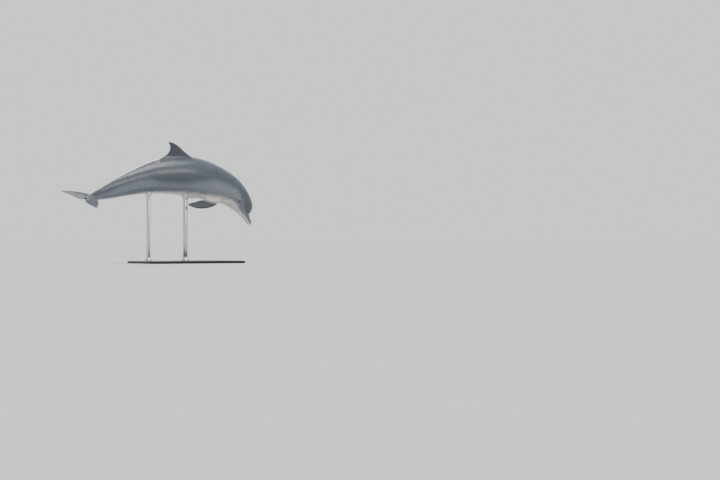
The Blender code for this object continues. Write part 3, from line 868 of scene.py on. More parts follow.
dorsal = (DORSAL_OUTLINE, dorsal_thickness, DORSAL_HEIGHT, dorsal_points)
dorsal_reach = (0.417, 0.574)
flipper_reach = (FLIPPER_BASE - 0.031, FLIPPER_BASE + 0.030)
fluke_reach = (0.930, 0.982)
back_column, right_column = COLUMNS // 4, COLUMNS // 2
# Each fin, its patch's reach, its first column and width in columns, its turn and its loops.
GROWTHS = {
    "dorsal": (dorsal, dorsal_reach, back_column - 2, 4, 1, fin_shares(17)),
    "flipper_left": (flipper(1), flipper_reach, -9, 4, 1, fin_shares(24)),
    "flipper_right": (flipper(-1), flipper_reach, 5 - right_column, 4, 1, fin_shares(24)),
    "fluke_left": (fluke(1), fluke_reach, -3, 6, -1, fin_shares(20, first=0.02)),
    "fluke_right": (fluke(-1), fluke_reach, right_column - 3, 6, 1, fin_shares(20, first=0.02)),
}
rims = {name: grow_fin(*growth) for name, growth in GROWTHS.items()}
for name, rim_points in rims.items():
    print(name, "first rim", len(rim_points), "points")
print("skin faces", len(skin.data.polygons))

# %% [markdown]
# ## Smoothing, and back to the true form
#
# The extruded skin is coarse, and a fin leaves it at a hard corner. First the faces round
# each fin's rim are relaxed. Then Subdivision Surface splits every face in four. It also
# shrinks the body a little, so each body vertex is put back on the true surface, while the
# strip along each rim is left free and smoothed into the fillet that real fins grow from.

# %% Helpers: relax, and put back on the true surface
CLOSING = (0.15, 0.60)
PROJECTION_ROUNDS = 4


def relax(piece, weights, rounds, hold=None):
    """Moves vertices half way to the mean of their neighbours, by their own weights."""
    ends = edge_ends(piece)
    points = vertices(piece)
    near, far = np.concatenate([ends, ends[:, ::-1]]).T
    count = np.bincount(near, minlength=len(points))
    for _ in range(rounds):
        sums = [np.bincount(near, points[far, k], len(points)) for k in range(3)]
        mean = np.stack(sums, axis=1) / count[:, None]
        points = points + weights[:, None] * (mean - points) / 2
        if hold is not None:
            points = hold(points)
    move_vertices(piece, points)


def place_and_angle(points):
    """Place along the body and angle round the side line of points near the straight body."""
    place = np.clip(points[:, 0] / LENGTH, 0, BODY_END)
    axis = curve(PROFILE, place)[:, 1] * LENGTH
    angle = np.arctan2(points[:, 2] - axis, points[:, 1])
    return np.clip((points[:, 0] + underbite(place, angle)) / LENGTH, 0, BODY_END), angle


def on_the_sides(place):
    """1 along the body, 0 where it closes in front and behind and faces fore and aft."""
    from_snout = smoothstep(place / SNOUT_ROUNDING, *CLOSING)
    return from_snout * smoothstep((BODY_END - place) / NOTCH_ROUNDING, *CLOSING)


def on_the_snout(points, angle):
    """The points moved along the body on to the round front of the snout."""
    place = np.zeros(len(points))
    for _ in range(PROJECTION_ROUNDS):
        plain, _, side = radii(place, angle)
        reach = np.hypot(points[:, 1], points[:, 2] - side * LENGTH) / (plain * LENGTH)
        place = SNOUT_ROUNDING * (1 - np.sqrt(1 - np.clip(reach, 0, 1) ** 2))
    along = place * LENGTH - underbite(place, angle)
    return np.stack([along, points[:, 1], points[:, 2]], axis=1)


def put_back(points, weights):
    """Moves points on to the true surface of the straight body, by their weights."""
    place, angle = place_and_angle(points)
    share = on_the_sides(place)[:, None]
    front = np.where(place[:, None] < SNOUT_ROUNDING, on_the_snout(points, angle), points)
    surface = share * flesh(place, angle) + (1 - share) * front
    return points + weights[:, None] * (surface - points)


print("the round front of the snout is", round(1000 * SNOUT_ROUNDING * LENGTH), "mm long")

# %% Relax round the fins, then subdivide
CLEAR_OF_SKIN = 0.0005
HEAD_END = 0.17
RELAX_REACH, RELAX_ROUNDS = (0.05, 0.16), 30
points = vertices(skin)
rim_owners = np.concatenate([matching(points, rim) for rim in rims.values()])
on_rim = np.zeros(len(points))
on_rim[rim_owners] = 1
stands_out = (height_over_skin(points) > CLEAR_OF_SKIN) & (points[:, 0] > HEAD_END * LENGTH)
on_fin = np.where(stands_out & (on_rim == 0), 1.0, 0.0)
keep_values(skin, "rim", on_rim)
keep_values(skin, "fin", np.maximum(on_fin, on_rim))
_, away = nearest(points[rim_owners], points)
free = (1 - smoothstep(away, *RELAX_REACH)) * (on_fin == 0) * (on_rim == 0)
relax(skin, free, RELAX_ROUNDS, hold=lambda moved: put_back(moved, (free > 0) * 1.0))
apply_modifier(skin, "SUBSURF", levels=1, render_levels=1)
print("after subdivision", len(skin.data.polygons), "faces")

# %% Fillets at the fins' roots
FILLET, FILLET_ROUNDS = 0.042, 22
HELD_FROM_RIM = (0.010, 0.070)
# Subdividing blurs the kept values: a rim still has nearly 1, a fin anything above 0.
RIM_VALUE, FIN_VALUE = 0.99, 0.001
points = vertices(skin)
rim_points = points[read_values(skin, "rim") > RIM_VALUE]
_, from_rim = nearest(rim_points, points)
on_fin = read_values(skin, "fin") > FIN_VALUE
held = smoothstep(from_rim, *HELD_FROM_RIM) * ~on_fin
move_vertices(skin, put_back(points, held))
relax(skin, 1 - smoothstep(from_rim, 0, FILLET), FILLET_ROUNDS)
print("longest way a root vertex moved", round(float(np.abs(vertices(skin) - points).max()), 4), "m")

# %% [markdown]
# ## Finer faces where the detail is
#
# Lids, lips and the blowhole need faces of a millimetre, and the flanks don't. So the skin
# is only subdivided near the features. Each feature has a distance, a finest face size and
# a growth, which says how fast faces may get larger away from it. Faces larger than the
# feature allows are selected and subdivided, round after round.

# %% Where the features lie
# Distances behind the snout are in metres from here on.
MOUTH_END = 0.300
BLOWHOLE = (0.380, 0.004)
BLOWHOLE_RADIUS, BLOWHOLE_TURN = 0.017, math.radians(68)
EAR = (0.418, -0.006)
# Where the crease round the melon starts, is deep, starts to fade, and has gone.
CREASE_SPAN = (0.100, 0.110, 0.128, 0.185)
EYES = {side: eye_frame(side) for side in (1, -1)}
EYE_LENGTH, EYE_ABOVE, EYE_BELOW = 0.0130, 0.0078, 0.0064
EYE_CORNER = 2.2
# Slits of the belly: middle and half length.
NAVEL, SLIT, VENT = (1.262, 0.010), (1.575, 0.046), (1.790, 0.016)
THROAT = (0.36, 0.56)


def body_coordinates(points):
    """Distance behind the snout, height over the side line, and sideways, in metres."""
    place, _ = place_and_angle(points)
    side_line = curve(PROFILE, place)[:, 1] * LENGTH
    return place * LENGTH, points[:, 2] - side_line, points[:, 1]


print("eyes", {side: np.round(EYES[side][0], 3).tolist() for side in EYES})

# %% Distances from the features
# Whatever is higher than this over the straight axis is on the back.
BACK_HEIGHT = 0.1
# A distance for points on the wrong side of the body, clear of every feature.
FAR = 1.0


def eye_coordinates(points, side):
    """Ahead, up and outward from the eyeball's centre."""
    centre, outward, ahead, up = EYES[side]
    off = points - centre
    return off @ ahead, off @ up, off @ outward


def eye_margin(ahead, up):
    """Distance outside the almond opening of the lids, and negative inside."""
    half_height = np.where(up > 0, EYE_ABOVE, EYE_BELOW)
    reach = np.abs(ahead) / EYE_LENGTH
    steep = EYE_CORNER * reach ** (EYE_CORNER - 1) / EYE_LENGTH
    return (reach**EYE_CORNER + np.abs(up) / half_height - 1) / np.hypot(steep, 1 / half_height)


def crease_distance(points):
    """Distance from the line where the melon meets beak and cheek, positive on the melon."""
    place, angle = place_and_angle(points)

    def stand_out(place, angle):
        plain, melon, _ = radii(place, angle)
        return (melon - plain) * LENGTH, melon > 0, plain * LENGTH

    # The slope of the gap between the two surfaces turns it into a distance along the skin.
    along_step, turn_step = 0.0005, 0.01
    gap, is_melon, radius = stand_out(place, angle)
    further, _, _ = stand_out(place + along_step, angle)
    higher, _, _ = stand_out(place, angle + turn_step)
    along_slope = (further - gap) / (along_step * LENGTH)
    turn_slope = (higher - gap) / (turn_step * radius)
    steep = np.hypot(along_slope, turn_slope)
    return np.where(is_melon, gap / np.hypot(1, steep), -FAR)


def blowhole_arc(points):
    """Distance from the crescent slit, and from its middle, on the top of the head."""
    along = points[:, 0] - (BLOWHOLE[0] - BLOWHOLE_RADIUS)
    off = points[:, 1] - BLOWHOLE[1]
    turn = np.abs(np.arctan2(off, along))
    end = np.abs(np.hypot(along, off) - BLOWHOLE_RADIUS)
    beyond = np.maximum(turn - BLOWHOLE_TURN, 0) * BLOWHOLE_RADIUS
    middle = np.hypot(points[:, 0] - BLOWHOLE[0] + BLOWHOLE_RADIUS / 2, off)
    not_on_top = np.where(points[:, 2] > BACK_HEIGHT, 0, FAR)
    return np.hypot(end, beyond) + not_on_top, middle + not_on_top


def ear_distance(along, height):
    return np.hypot(along - EAR[0], height - EAR[1])


def belly_slit(points, slit):
    """Distance from a lengthwise slit in the middle of the belly."""
    middle, half_length = slit
    beyond = np.maximum(np.abs(points[:, 0] - middle) - half_length, 0)
    return np.hypot(beyond, points[:, 1]) + np.where(points[:, 2] < 0, 0, FAR)


slit, _ = blowhole_arc(vertices(skin))
print("the nearest vertex to the blowhole's slit is", round(1000 * float(slit.min()), 1), "mm away")

# %% How fine the faces should be
SIZE_SLACK = 1.35
THROAT_FACES = 0.0075


def size_near(distance, finest, growth, reach=0.004):
    """Face size allowed at a distance: the finest within the reach, then growing."""
    return finest + growth * np.maximum(distance - reach, 0)


def allowed_size(points):
    """Largest face size at each point, in metres: the least that any feature asks for."""
    along, height, off = body_coordinates(points)
    beyond_mouth = np.maximum(along - MOUTH_END - 0.015, 0)
    from_mouth = np.hypot(height, beyond_mouth)
    sizes = [size_near(from_mouth, finest=0.0011, growth=0.16, reach=0.005)]
    for side in EYES:
        ahead, up, outward = eye_coordinates(points, side)
        from_lid = np.maximum(np.abs(eye_margin(ahead, up)) - 0.003, 0) + np.maximum(-outward, 0)
        sizes.append(size_near(from_lid, finest=0.0007, growth=0.13, reach=0))
        from_ear = np.hypot(ear_distance(along, height), np.where(off * side > 0, 0, FAR))
        sizes.append(size_near(from_ear, finest=0.0009, growth=0.25))
    from_blowhole, _ = blowhole_arc(points)
    sizes.append(size_near(from_blowhole, finest=0.0010, growth=0.16))
    in_crease = between(along, CREASE_SPAN[0], CREASE_SPAN[-1])
    from_crease = np.where(in_crease, np.abs(crease_distance(points)), FAR)
    sizes.append(size_near(from_crease, finest=0.0014, growth=0.25))
    for slit in (NAVEL, SLIT, VENT):
        sizes.append(size_near(belly_slit(points, slit), finest=0.0013, growth=0.2))
    in_throat = between(along, *THROAT) & (height < 0)
    sizes.append(np.where(in_throat, THROAT_FACES, FAR))
    return np.min(sizes, axis=0)


wanted = allowed_size(face_centres(skin)) * SIZE_SLACK
print("the finest faces are", round(1000 * wanted.min(), 1), "mm wide")
print("too coarse so far:", int((face_sizes(skin) > wanted).sum()), "faces")

# %% Subdivide near the features
ROUNDS = 4
face_outwards(skin)
for turn in range(ROUNDS):
    coarse = face_sizes(skin) > allowed_size(face_centres(skin)) * SIZE_SLACK
    select_faces(skin, coarse)
    edit(skin)
    bpy.ops.mesh.subdivide(number_cuts=1, ngon=False, quadcorner="INNERVERT")
    leave()
    points = vertices(skin)
    new = np.zeros(len(points))
    new[selected_vertices(skin)] = 1
    new *= read_values(skin, "fin") < FIN_VALUE
    move_vertices(skin, put_back(points, new))
    print("round", turn + 1, "subdivided", int(coarse.sum()), "faces, now", len(skin.data.polygons))

# %% [markdown]
# ## Lips, blowhole and folds
#
# The fine forms are carved into the skin as a sculptor would, along its normals. A groove
# is a narrow bell of depth around a line, a lip is a wider bell beside it. On the real
# animal the mouth closes to a thin line that ends in a curl under the eye, the blowhole is
# a crescent whose ends point forwards, and the bent neck throws soft folds at the throat.

# %% Grooves and ridges of the head
def bell(distance, width):
    return np.exp(-((distance / width) ** 2))


def groove(distance, depth, width):
    return -depth * bell(distance, width)


def ridge(distance, rise, width):
    return rise * bell(distance, width)


def window(value, rise, full, fall, end):
    """Rises from 0 to 1, stays, and falls back to 0."""
    return smoothstep(value, rise, full) * (1 - smoothstep(value, fall, end))


def mouth_form(along, height):
    """Depth of the mouth line with its lips, its end and the fold behind it."""
    open_share = 1 - smoothstep(along, MOUTH_END - 0.004, MOUTH_END + 0.012)
    fold_share = smoothstep(along, MOUTH_END + 0.010, MOUTH_END + 0.018)
    curl = 0.010 * smoothstep(along, MOUTH_END - 0.016, MOUTH_END + 0.014)
    line = groove(height - curl, depth=0.0034, width=0.0015)
    lips = ridge(np.abs(height - curl) - 0.0050, rise=0.0009, width=0.0030)
    corner = np.hypot(along - MOUTH_END - 0.013, (height - 0.006) * 0.55)
    fold = groove(corner - 0.009, depth=0.0010, width=0.0016)
    return (line + lips) * open_share + fold * fold_share


def crease_form(points, along):
    line = groove(crease_distance(points) - 0.0005, depth=0.0020, width=0.0024)
    return line * window(along, *CREASE_SPAN)


def blowhole_form(points):
    slit, middle = blowhole_arc(points)
    plug = np.where(middle < FAR, ridge(middle, rise=0.0012, width=0.014), 0)
    rim = ridge(slit - 0.005, rise=0.0010, width=0.003)
    return groove(slit, depth=0.0042, width=0.0016) + rim + plug


def ear_form(along, height):
    away = ear_distance(along, height)
    rim = ridge(away - 0.0042, rise=0.0003, width=0.002)
    return groove(away, depth=0.0016, width=0.0017) + rim


print("a groove one width away is", round(groove(0.002, depth=1.0, width=0.002), 2), "of its depth")

# %% Folds and muscles of the body
THROAT_FOLDS = (0.425, 0.468, 0.515)
STOCK_FURROW = (1.50, 1.72, 2.20, 2.36)
NECK_SWELL, SADDLE_DIP = (0.46, 0.60, 0.95, 1.05), (1.55, 1.75, 2.25, 2.38)
SHOULDER = (0.50, 0.62, 0.70, 0.88)


def throat_form(along, angle):
    """Soft folds across the throat, bowed backwards in the middle."""
    down = -np.sin(angle)
    below = smoothstep(down, 0.15, 0.75)
    midline = 1 - 0.6 * smoothstep(down, 0.80, 0.97)
    bowed = along - 0.022 * below
    folds = sum(groove(bowed - fold, depth=0.0015, width=0.0085) for fold in THROAT_FOLDS)
    between = sum(ridge(bowed - fold - 0.021, rise=0.0006, width=0.015) for fold in THROAT_FOLDS)
    return (folds + between) * below * midline


def belly_form(points):
    navel = groove(belly_slit(points, NAVEL), depth=0.0022, width=0.0035)
    away = np.minimum(belly_slit(points, SLIT), belly_slit(points, VENT))
    slits = groove(away, depth=0.0032, width=0.0020)
    return navel + slits + ridge(away - 0.007, rise=0.0012, width=0.005)


def muscle_form(along, height, angle):
    """A shallow furrow along the tail stock, and the swell of the shoulder and back."""
    furrow = groove(height - 0.004, depth=0.0035, width=0.020) * window(along, *STOCK_FURROW)
    spine_line = bell(np.cos(angle), 0.16) * smoothstep(np.sin(angle), 0, 0.2)
    back = 0.0020 * window(along, *SADDLE_DIP) - 0.0022 * window(along, *NECK_SWELL)
    shoulder = ridge(height + 0.055, rise=0.0030, width=0.055) * window(along, *SHOULDER)
    return furrow + spine_line * back + shoulder


print("throat folds at", THROAT_FOLDS, "m behind the snout")

# %% Carve the forms into the skin
points = vertices(skin)
on_body = 1 - smoothstep(read_values(skin, "fin"), 0.0, 0.5)
along, height, _ = body_coordinates(points)
_, angle = place_and_angle(points)
forms = {
    "mouth": mouth_form(along, height),
    "crease": crease_form(points, along),
    "blowhole": blowhole_form(points),
    "ears": ear_form(along, height),
    "throat": throat_form(along, angle),
    "belly": belly_form(points),
    "muscles": muscle_form(along, height, angle),
}
carved = sum(forms.values()) * on_body
move_vertices(skin, points + outward_normals(skin) * carved[:, None])
for name, form in forms.items():
    print(name, "from", round(1000 * form.min(), 1), "to", round(1000 * form.max(), 1), "mm")

# %% [markdown]
# ## The lids
#
# A dolphin's eye sits low on the side of the head, and only an almond of the ball shows.
# The lids are thick and lie on the ball. Outside the almond, the skin is draped over the
# ball like a cloth, a lid's thickness off it, and eases back into the cheek. Inside the
# almond it drops behind the ball, so the ball itself fills the opening. Shallow creases
# run round the lids, and from both corners.

# %% Shape the lids
LID_THICKNESS = 0.0014
LID_REACH = 0.022
LID_DROP = 0.0022
LID_DRAPE = 0.007
LID_EDGE = (-0.0008, 0.0007)
CHEEK_REACH = 0.045
# Creases round the lids: distance from the lid's edge, width, and share of the full depth.
UPPER_CREASES = ((0.0042, 0.0009, 0.75), (0.0088, 0.0013, 0.55))
LOWER_CREASES = ((0.0050, 0.0010, 0.75), (0.0095, 0.0014, 0.65), (0.0145, 0.0017, 0.40))
CORNER_CREASE = (0.0, 0.002, 0.007, 0.014)
LID_FADE = (-0.002, 0.004)


def lid_creases(ahead, up, margin):
    def rings(creases):
        return sum(groove(margin - off, depth, width) for off, width, depth in creases)

    upper = rings(UPPER_CREASES) * smoothstep(up, *LID_FADE)
    lower = rings(LOWER_CREASES) * smoothstep(-up, *LID_FADE)
    corners = groove(up + 0.10 * np.abs(ahead), depth=0.0009, width=0.0010)
    return 0.0010 * (upper + lower) + corners * window(np.abs(ahead) - EYE_LENGTH, *CORNER_CREASE)


def draped_lids(ahead, up, outward):
    """How far out the skin lies round an eye, over the ball outside the almond."""
    margin = eye_margin(ahead, up)
    ball = np.sqrt(np.maximum(EYE_RADIUS**2 - ahead**2 - up**2, 1e-6))
    over_ball = smooth_max(outward, ball + LID_THICKNESS, LID_DRAPE)
    draped = np.where(ball > 0.0012, over_ball, outward)
    eased = smoothstep(margin, 0.0, LID_REACH)
    outside = (1 - eased) * draped + eased * outward
    step = smoothstep(margin, *LID_EDGE)
    return step * outside + (1 - step) * (ball - LID_DROP) + lid_creases(ahead, up, margin)


points = vertices(skin)
for side, (_, axis, _, _) in EYES.items():
    ahead, up, outward = eye_coordinates(points, side)
    near = (np.hypot(ahead, up) < CHEEK_REACH) & (outward > 0)
    shaped = draped_lids(ahead[near], up[near], outward[near])
    points[near] += (shaped - outward[near])[:, None] * axis
    print("lids on side", side, "moved", int(near.sum()), "vertices")
move_vertices(skin, points)

# %% [markdown]
# ## Where the colours go
#
# A bottlenose dolphin is dark above and pale below, which hides it in the sea from both
# sides. The dark cape covers the forehead and the back and dips under the dorsal fin, the
# flank is a softer grey, and the belly is off-white from the lower lip to the vent. Finer
# marks are a dark patch round the eye, a stripe from it down to the flipper and a thin one
# forward to the beak.
#
# The marks belong to the body, not to the room, so they are worked out while the body is
# still straight and kept as values on its vertices. So is the painted shade of the head's
# grooves, the blowhole's slit and the ear's opening, and the darker edge of the lids. The materials read
# them later.

# %% How high the cape and the belly reach
# Place, then how high the cape's edge and the belly's edge lie: 1 is the back, -1 the belly.
PATTERN = [
    (0.000, 0.30, -0.12),
    (0.045, 0.30, -0.16),
    (0.075, 0.34, -0.26),
    (0.110, 0.30, -0.34),
    (0.140, 0.34, -0.40),
    (0.200, 0.42, -0.42),
    (0.290, 0.34, -0.52),
    (0.400, 0.10, -0.56),
    (0.490, -0.02, -0.58),
    (0.580, 0.12, -0.60),
    (0.660, 0.34, -0.70),
    (0.740, 0.44, -0.88),
    (0.820, 0.34, -1.10),
    (0.985, 0.00, -1.30),
]
BEHIND_HEAD = (0.17, 0.26)


def height_share(place, height):
    """Height over the side line: 1 on the back, -1 on the belly."""
    back, side, belly, _ = curve(PROFILE, place).T * LENGTH
    return np.where(height > 0, height / (back - side), height / (side - belly))


points = vertices(skin)
place, _ = place_and_angle(points)
along, height, off = body_coordinates(points)
share = height_share(place, height)
cape_edge, belly_edge = curve(PATTERN, place).T
keep_values(skin, "cape", share - cape_edge)
keep_values(skin, "belly", belly_edge - share)
keep_values(skin, "behind_head", smoothstep(place, *BEHIND_HEAD))
print("cape on", int((share > cape_edge).sum()), "vertices, belly on", int((share < belly_edge).sum()))

# %% Dark marks: the eyes and the stripes, and painted shade at the ears
# A stripe's rows: distance behind the snout, height over the side line, strength.
BRIDLE = [(0.140, 0.022, 0.25), (0.240, 0.020, 0.55), (0.345, 0.012, 0.9)]
FLIPPER_STRIPE = [
    (0.372, -0.004, 0.90),
    (0.450, -0.036, 0.62),
    (0.540, -0.090, 0.55),
    (0.640, -0.135, 0.60),
]
EYE_PATCH, LID_RIM, EAR_SHADE = 0.024, 0.0045, 0.0030
CHEEK_DEPTH = -0.03


def stripe(along, height, route, width):
    """A soft band along its route."""
    path = curve(route, along)
    start, end = route[0][0], route[-1][0]
    inside = window(along, start - 0.010, start + 0.012, end - 0.020, end + 0.010)
    return bell(height - path[:, 0], width) * path[:, 1] * inside


def round_the_eyes(points):
    """How far each point is in the patch round an eye, and on the rim of its lids."""
    patch, rim = np.zeros(len(points)), np.zeros(len(points))
    for side in EYES:
        ahead, up, outward = eye_coordinates(points, side)
        on_side = outward > CHEEK_DEPTH
        from_lid = np.maximum(eye_margin(ahead, up), 0)
        patch = np.maximum(patch, bell(np.hypot(ahead * 0.8, up * 1.15), EYE_PATCH) * on_side)
        rim = np.maximum(rim, bell(from_lid, LID_RIM) * on_side)
    return patch, rim


eye_patch, lid_rim = round_the_eyes(points)
dark_marks_and_ear_shade = {
    "patch round the eye": 0.55 * eye_patch,
    "stripe to the beak": 0.50 * stripe(along, height, BRIDLE, 0.0075),
    "stripe to the flipper": 0.55 * stripe(along, height, FLIPPER_STRIPE, 0.017),
    # Painted shade: a dark dot stands in for the shadow in the ear's small opening.
    "ear": 0.70 * bell(ear_distance(along, height), EAR_SHADE),
}
# The kept values hold the dark marks and the painted shade at the ears.
keep_values(skin, "dark", np.max(list(dark_marks_and_ear_shade.values()), axis=0))
for name, mark in dark_marks_and_ear_shade.items():
    print(name, "up to", round(float(mark.max()), 2))

# %% Painted shade in the creases; fins and undersides
CREASE_SHADE_DEPTH = 0.0026
CREASED_HEAD = (0.40, 0.44)
FIN_COLOUR = (0.012, 0.075)
LEAST_GIRTH = 0.04

from_blowhole, _ = blowhole_arc(points)
# Painted shade: the deeper a groove on the head is carved, the darker it is painted, and the blowhole's
# slit is darkened too. The lids' edge is darker as well. These values are kept as crease.
pit_shade = np.clip(-carved / CREASE_SHADE_DEPTH, 0, 1)
pit_shade[on_body < 0.5] = 0
on_head = 1 - smoothstep(along, *CREASED_HEAD)
painted_crease_shade = np.maximum(np.clip(pit_shade * on_head + bell(from_blowhole, 0.003), 0, 1), lid_rim)
over = np.clip(height_over_skin(points), 0, None)
keep_values(skin, "crease", painted_crease_shade)
keep_values(skin, "fin", smoothstep(over, *FIN_COLOUR))
keep_values(skin, "underside", smoothstep(-outward_normals(skin)[:, 2], 0.05, 0.75))
# Two ways to lay a pattern on: in the straight body's space, and flat along and round it.
half_width = curve(PROFILE, place)[:, 3] * LENGTH
girth = np.arctan2(off, height) * np.maximum(half_width, LEAST_GIRTH) + over
keep_values(skin, "straight", points)
keep_values(skin, "lie", np.stack([points[:, 0], girth, np.zeros(len(points))], axis=1))
print("dark creases on", int((painted_crease_shade > 0.5).sum()), "vertices")

# %% [markdown]
# ## The flat map
#
# Every vertex of the skin also gets a place on a flat sheet, as if the skin were peeled
# off, so that its colours can be painted into a picture for other programs. Smart Project
# cuts the skin wherever it turns away, which suits a form with no sharp edges, and it is
# done now, because the straight body is easier to flatten than the bent one.

# %% Unwrap the straight skin
FLAT_ANGLE = math.radians(62)
ISLAND_GAP = 0.002


def unwrap(piece, name="OFBake"):
    while piece.data.uv_layers:
        piece.data.uv_layers.remove(piece.data.uv_layers[0])
    piece.data.uv_layers.new(name=name)
    edit(piece)
    bpy.ops.mesh.select_all(action="SELECT")
    bpy.ops.uv.smart_project(angle_limit=FLAT_ANGLE, island_margin=ISLAND_GAP)
    leave()


unwrap(skin)
print("unwrapped", len(skin.data.loops), "corners")

# %% [markdown]
# ## Into the pose
#
# Now the spine carries the skin. The stiff part of the dorsal fin and the flippers follows
# one place of the spine, and the rest bends. The straight body runs backwards, so its faces
# end up the wrong way round, and their normals are turned at the end.

# %% Bend the skin and let it stand for the flesh
DORSAL_PLACES, FLIPPER_PLACES = (0.36, 0.66), (0.20, 0.45)


def pose_skin():
    straight = vertices(skin)
    bent = spine.bend(straight)
    place = straight[:, 0] / LENGTH
    over = height_over_skin(straight)
    on_back = (straight[:, 2] > BACK_HEIGHT) & between(place, *DORSAL_PLACES)
    on_chest = (straight[:, 2] < 0) & between(place, *FLIPPER_PLACES)
    for carrier, chosen in ((DORSAL_BASE, on_back), (FLIPPER_BASE, on_chest)):
        stiff = (smoothstep(over, *STIFFENING) * chosen)[:, None]
        bent = (1 - stiff) * bent + stiff * spine.carry(straight, carrier)
    move_vertices(skin, bent + lift)
    face_outwards(skin)
    skin.data.shade_smooth()


pose_skin()
FLESH = [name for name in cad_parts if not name.startswith(("eye", "stand"))]
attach(skin, "root")
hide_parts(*FLESH)
posed = vertices(skin)
print("skin spans", np.round(posed.min(axis=0), 3), "to", np.round(posed.max(axis=0), 3))

# %% [markdown]
# ## The skin's finish
#
# Dolphin skin is smooth and rubbery and, on a model as in life, looks wet: a satin layer
# of colour under a thin gloss. The colour follows the marks, but no edge on an animal is
# a clean line, so noise pushes each edge about. On top lie soft mottling, small freckles
# where the flank meets the belly, and the pale scratches that the teeth of other dolphins
# leave.
#
# The scratches and the freckles are node groups with named inputs, so that their number
# and size can be tried out in one place, and another material can use them too.

# %% Helpers for materials: nodes and wires
def new_material(name):
    made = bpy.data.materials.new(name)
    made.use_nodes = True
    shader = made.node_tree.nodes["Principled BSDF"]
    return made, made.node_tree, shader


def set_inputs(shader, values):
    for label, value in values.items():
        shader.inputs[label].default_value = value


def give_material(piece, material):
    piece.data.materials.clear()
    piece.data.materials.append(material)


def node(tree, kind, **settings):
    """Adds a node. Settings that are sockets' names set their values."""
    made = tree.nodes.new(kind)
    for key, value in settings.items():
        if hasattr(made, key):
            setattr(made, key, value)
        else:
            made.inputs[key.replace("_", " ").title()].default_value = value
    return made


def wire(tree, source, target):
    """Joins two sockets, or gives a socket a plain value."""
    if isinstance(source, bpy.types.NodeSocket):
        tree.links.new(source, target)
    else:
        target.default_value = source


def object_place(tree):
    return tree.nodes.new("ShaderNodeTexCoord").outputs["Object"]


def stored(tree, name, output="Fac"):
    made = node(tree, "ShaderNodeAttribute", attribute_name=name)
    return made.outputs[output]


def bumps(tree, shader, heights):
    """Chains bump maps of (height, strength, distance) and feeds the shader."""
    normal = None
    for height, strength, distance in heights:
        made = node(tree, "ShaderNodeBump", strength=strength, distance=distance)
        wire(tree, height, made.inputs["Height"])
        if normal is not None:
            wire(tree, normal, made.inputs["Normal"])
        normal = made.outputs["Normal"]
    wire(tree, normal, shader.inputs["Normal"])


print("nodes and wires ready")

# %% Helpers for materials: values and colours
def maths(tree, operation, *values):
    made = tree.nodes.new("ShaderNodeMath")
    made.operation = operation
    for value, socket in zip(values, made.inputs):
        wire(tree, value, socket)
    return made.outputs[0]


def times(tree, first, *others):
    """The product of all the values."""
    for other in others:
        first = maths(tree, "MULTIPLY", first, other)
    return first


def plus(tree, base, pattern, factor):
    """The base with the pattern added, as strong as the factor."""
    return maths(tree, "MULTIPLY_ADD", pattern, factor, base)


def spread(tree, pattern, low, high):
    """Low where the pattern is 0, high where it is 1."""
    return maths(tree, "MULTIPLY_ADD", pattern, high - low, low)


def step_between(tree, value, low, high):
    """0 below low, 1 above high, and smooth between them."""
    made = tree.nodes.new("ShaderNodeMapRange")
    made.interpolation_type = "SMOOTHSTEP"
    wire(tree, value, made.inputs["Value"])
    wire(tree, low, made.inputs["From Min"])
    wire(tree, high, made.inputs["From Max"])
    return made.outputs["Result"]


def blend_colours(tree, share, first, second, kind="MIX"):
    made = tree.nodes.new("ShaderNodeMix")
    made.data_type = "RGBA"
    made.blend_type = kind
    wire(tree, share, made.inputs["Factor"])
    wire(tree, first, made.inputs["A"])
    wire(tree, second, made.inputs["B"])
    return made.outputs["Result"]


print("values and colours ready")

# %% Helpers for materials: patterns and vectors
def noise(tree, vector, scale, detail=2.0, roughness=0.5):
    made = node(tree, "ShaderNodeTexNoise", scale=scale, detail=detail, roughness=roughness)
    wire(tree, vector, made.inputs["Vector"])
    return made.outputs["Fac"]


def random_cells(tree, vector, scale, **settings):
    """Cells round random points: their places, colours and distances."""
    made = node(tree, "ShaderNodeTexVoronoi", **settings)
    wire(tree, vector, made.inputs["Vector"])
    wire(tree, scale, made.inputs["Scale"])
    return made.outputs


def split(tree, source, kind="XYZ"):
    """The three numbers of a vector or a colour."""
    made = tree.nodes.new(f"ShaderNodeSeparate{kind}")
    wire(tree, source, made.inputs[0])
    return made.outputs[0], made.outputs[1], made.outputs[2]


def join_numbers(tree, *numbers):
    """A vector of up to three numbers."""
    made = tree.nodes.new("ShaderNodeCombineXYZ")
    for number, socket in zip(numbers, made.inputs):
        wire(tree, number, socket)
    return made.outputs[0]


def turned(tree, vector, angle):
    """A vector turned about the upright axis."""
    made = node(tree, "ShaderNodeVectorRotate", rotation_type="Z_AXIS")
    wire(tree, vector, made.inputs["Vector"])
    wire(tree, angle, made.inputs["Angle"])
    return made.outputs[0]


def vector_maths(tree, operation, first, second):
    made = node(tree, "ShaderNodeVectorMath", operation=operation)
    wire(tree, first, made.inputs[0])
    wire(tree, second, made.inputs[1])
    return made.outputs[0]


print("patterns and vectors ready")

# %% Helpers for node groups
def new_group(name, inputs, outputs):
    """A node group and the sockets of its two ends. An input without a value is a vector."""
    group = bpy.data.node_groups.new(name, "ShaderNodeTree")
    for label, value in inputs.items():
        kind = "NodeSocketVector" if value is None else "NodeSocketFloat"
        socket = group.interface.new_socket(label, in_out="INPUT", socket_type=kind)
        if value is not None:
            socket.default_value = value
    for label in outputs:
        group.interface.new_socket(label, in_out="OUTPUT", socket_type="NodeSocketFloat")
    start, end = group.nodes.new("NodeGroupInput"), group.nodes.new("NodeGroupOutput")
    return group, start.outputs, end.inputs


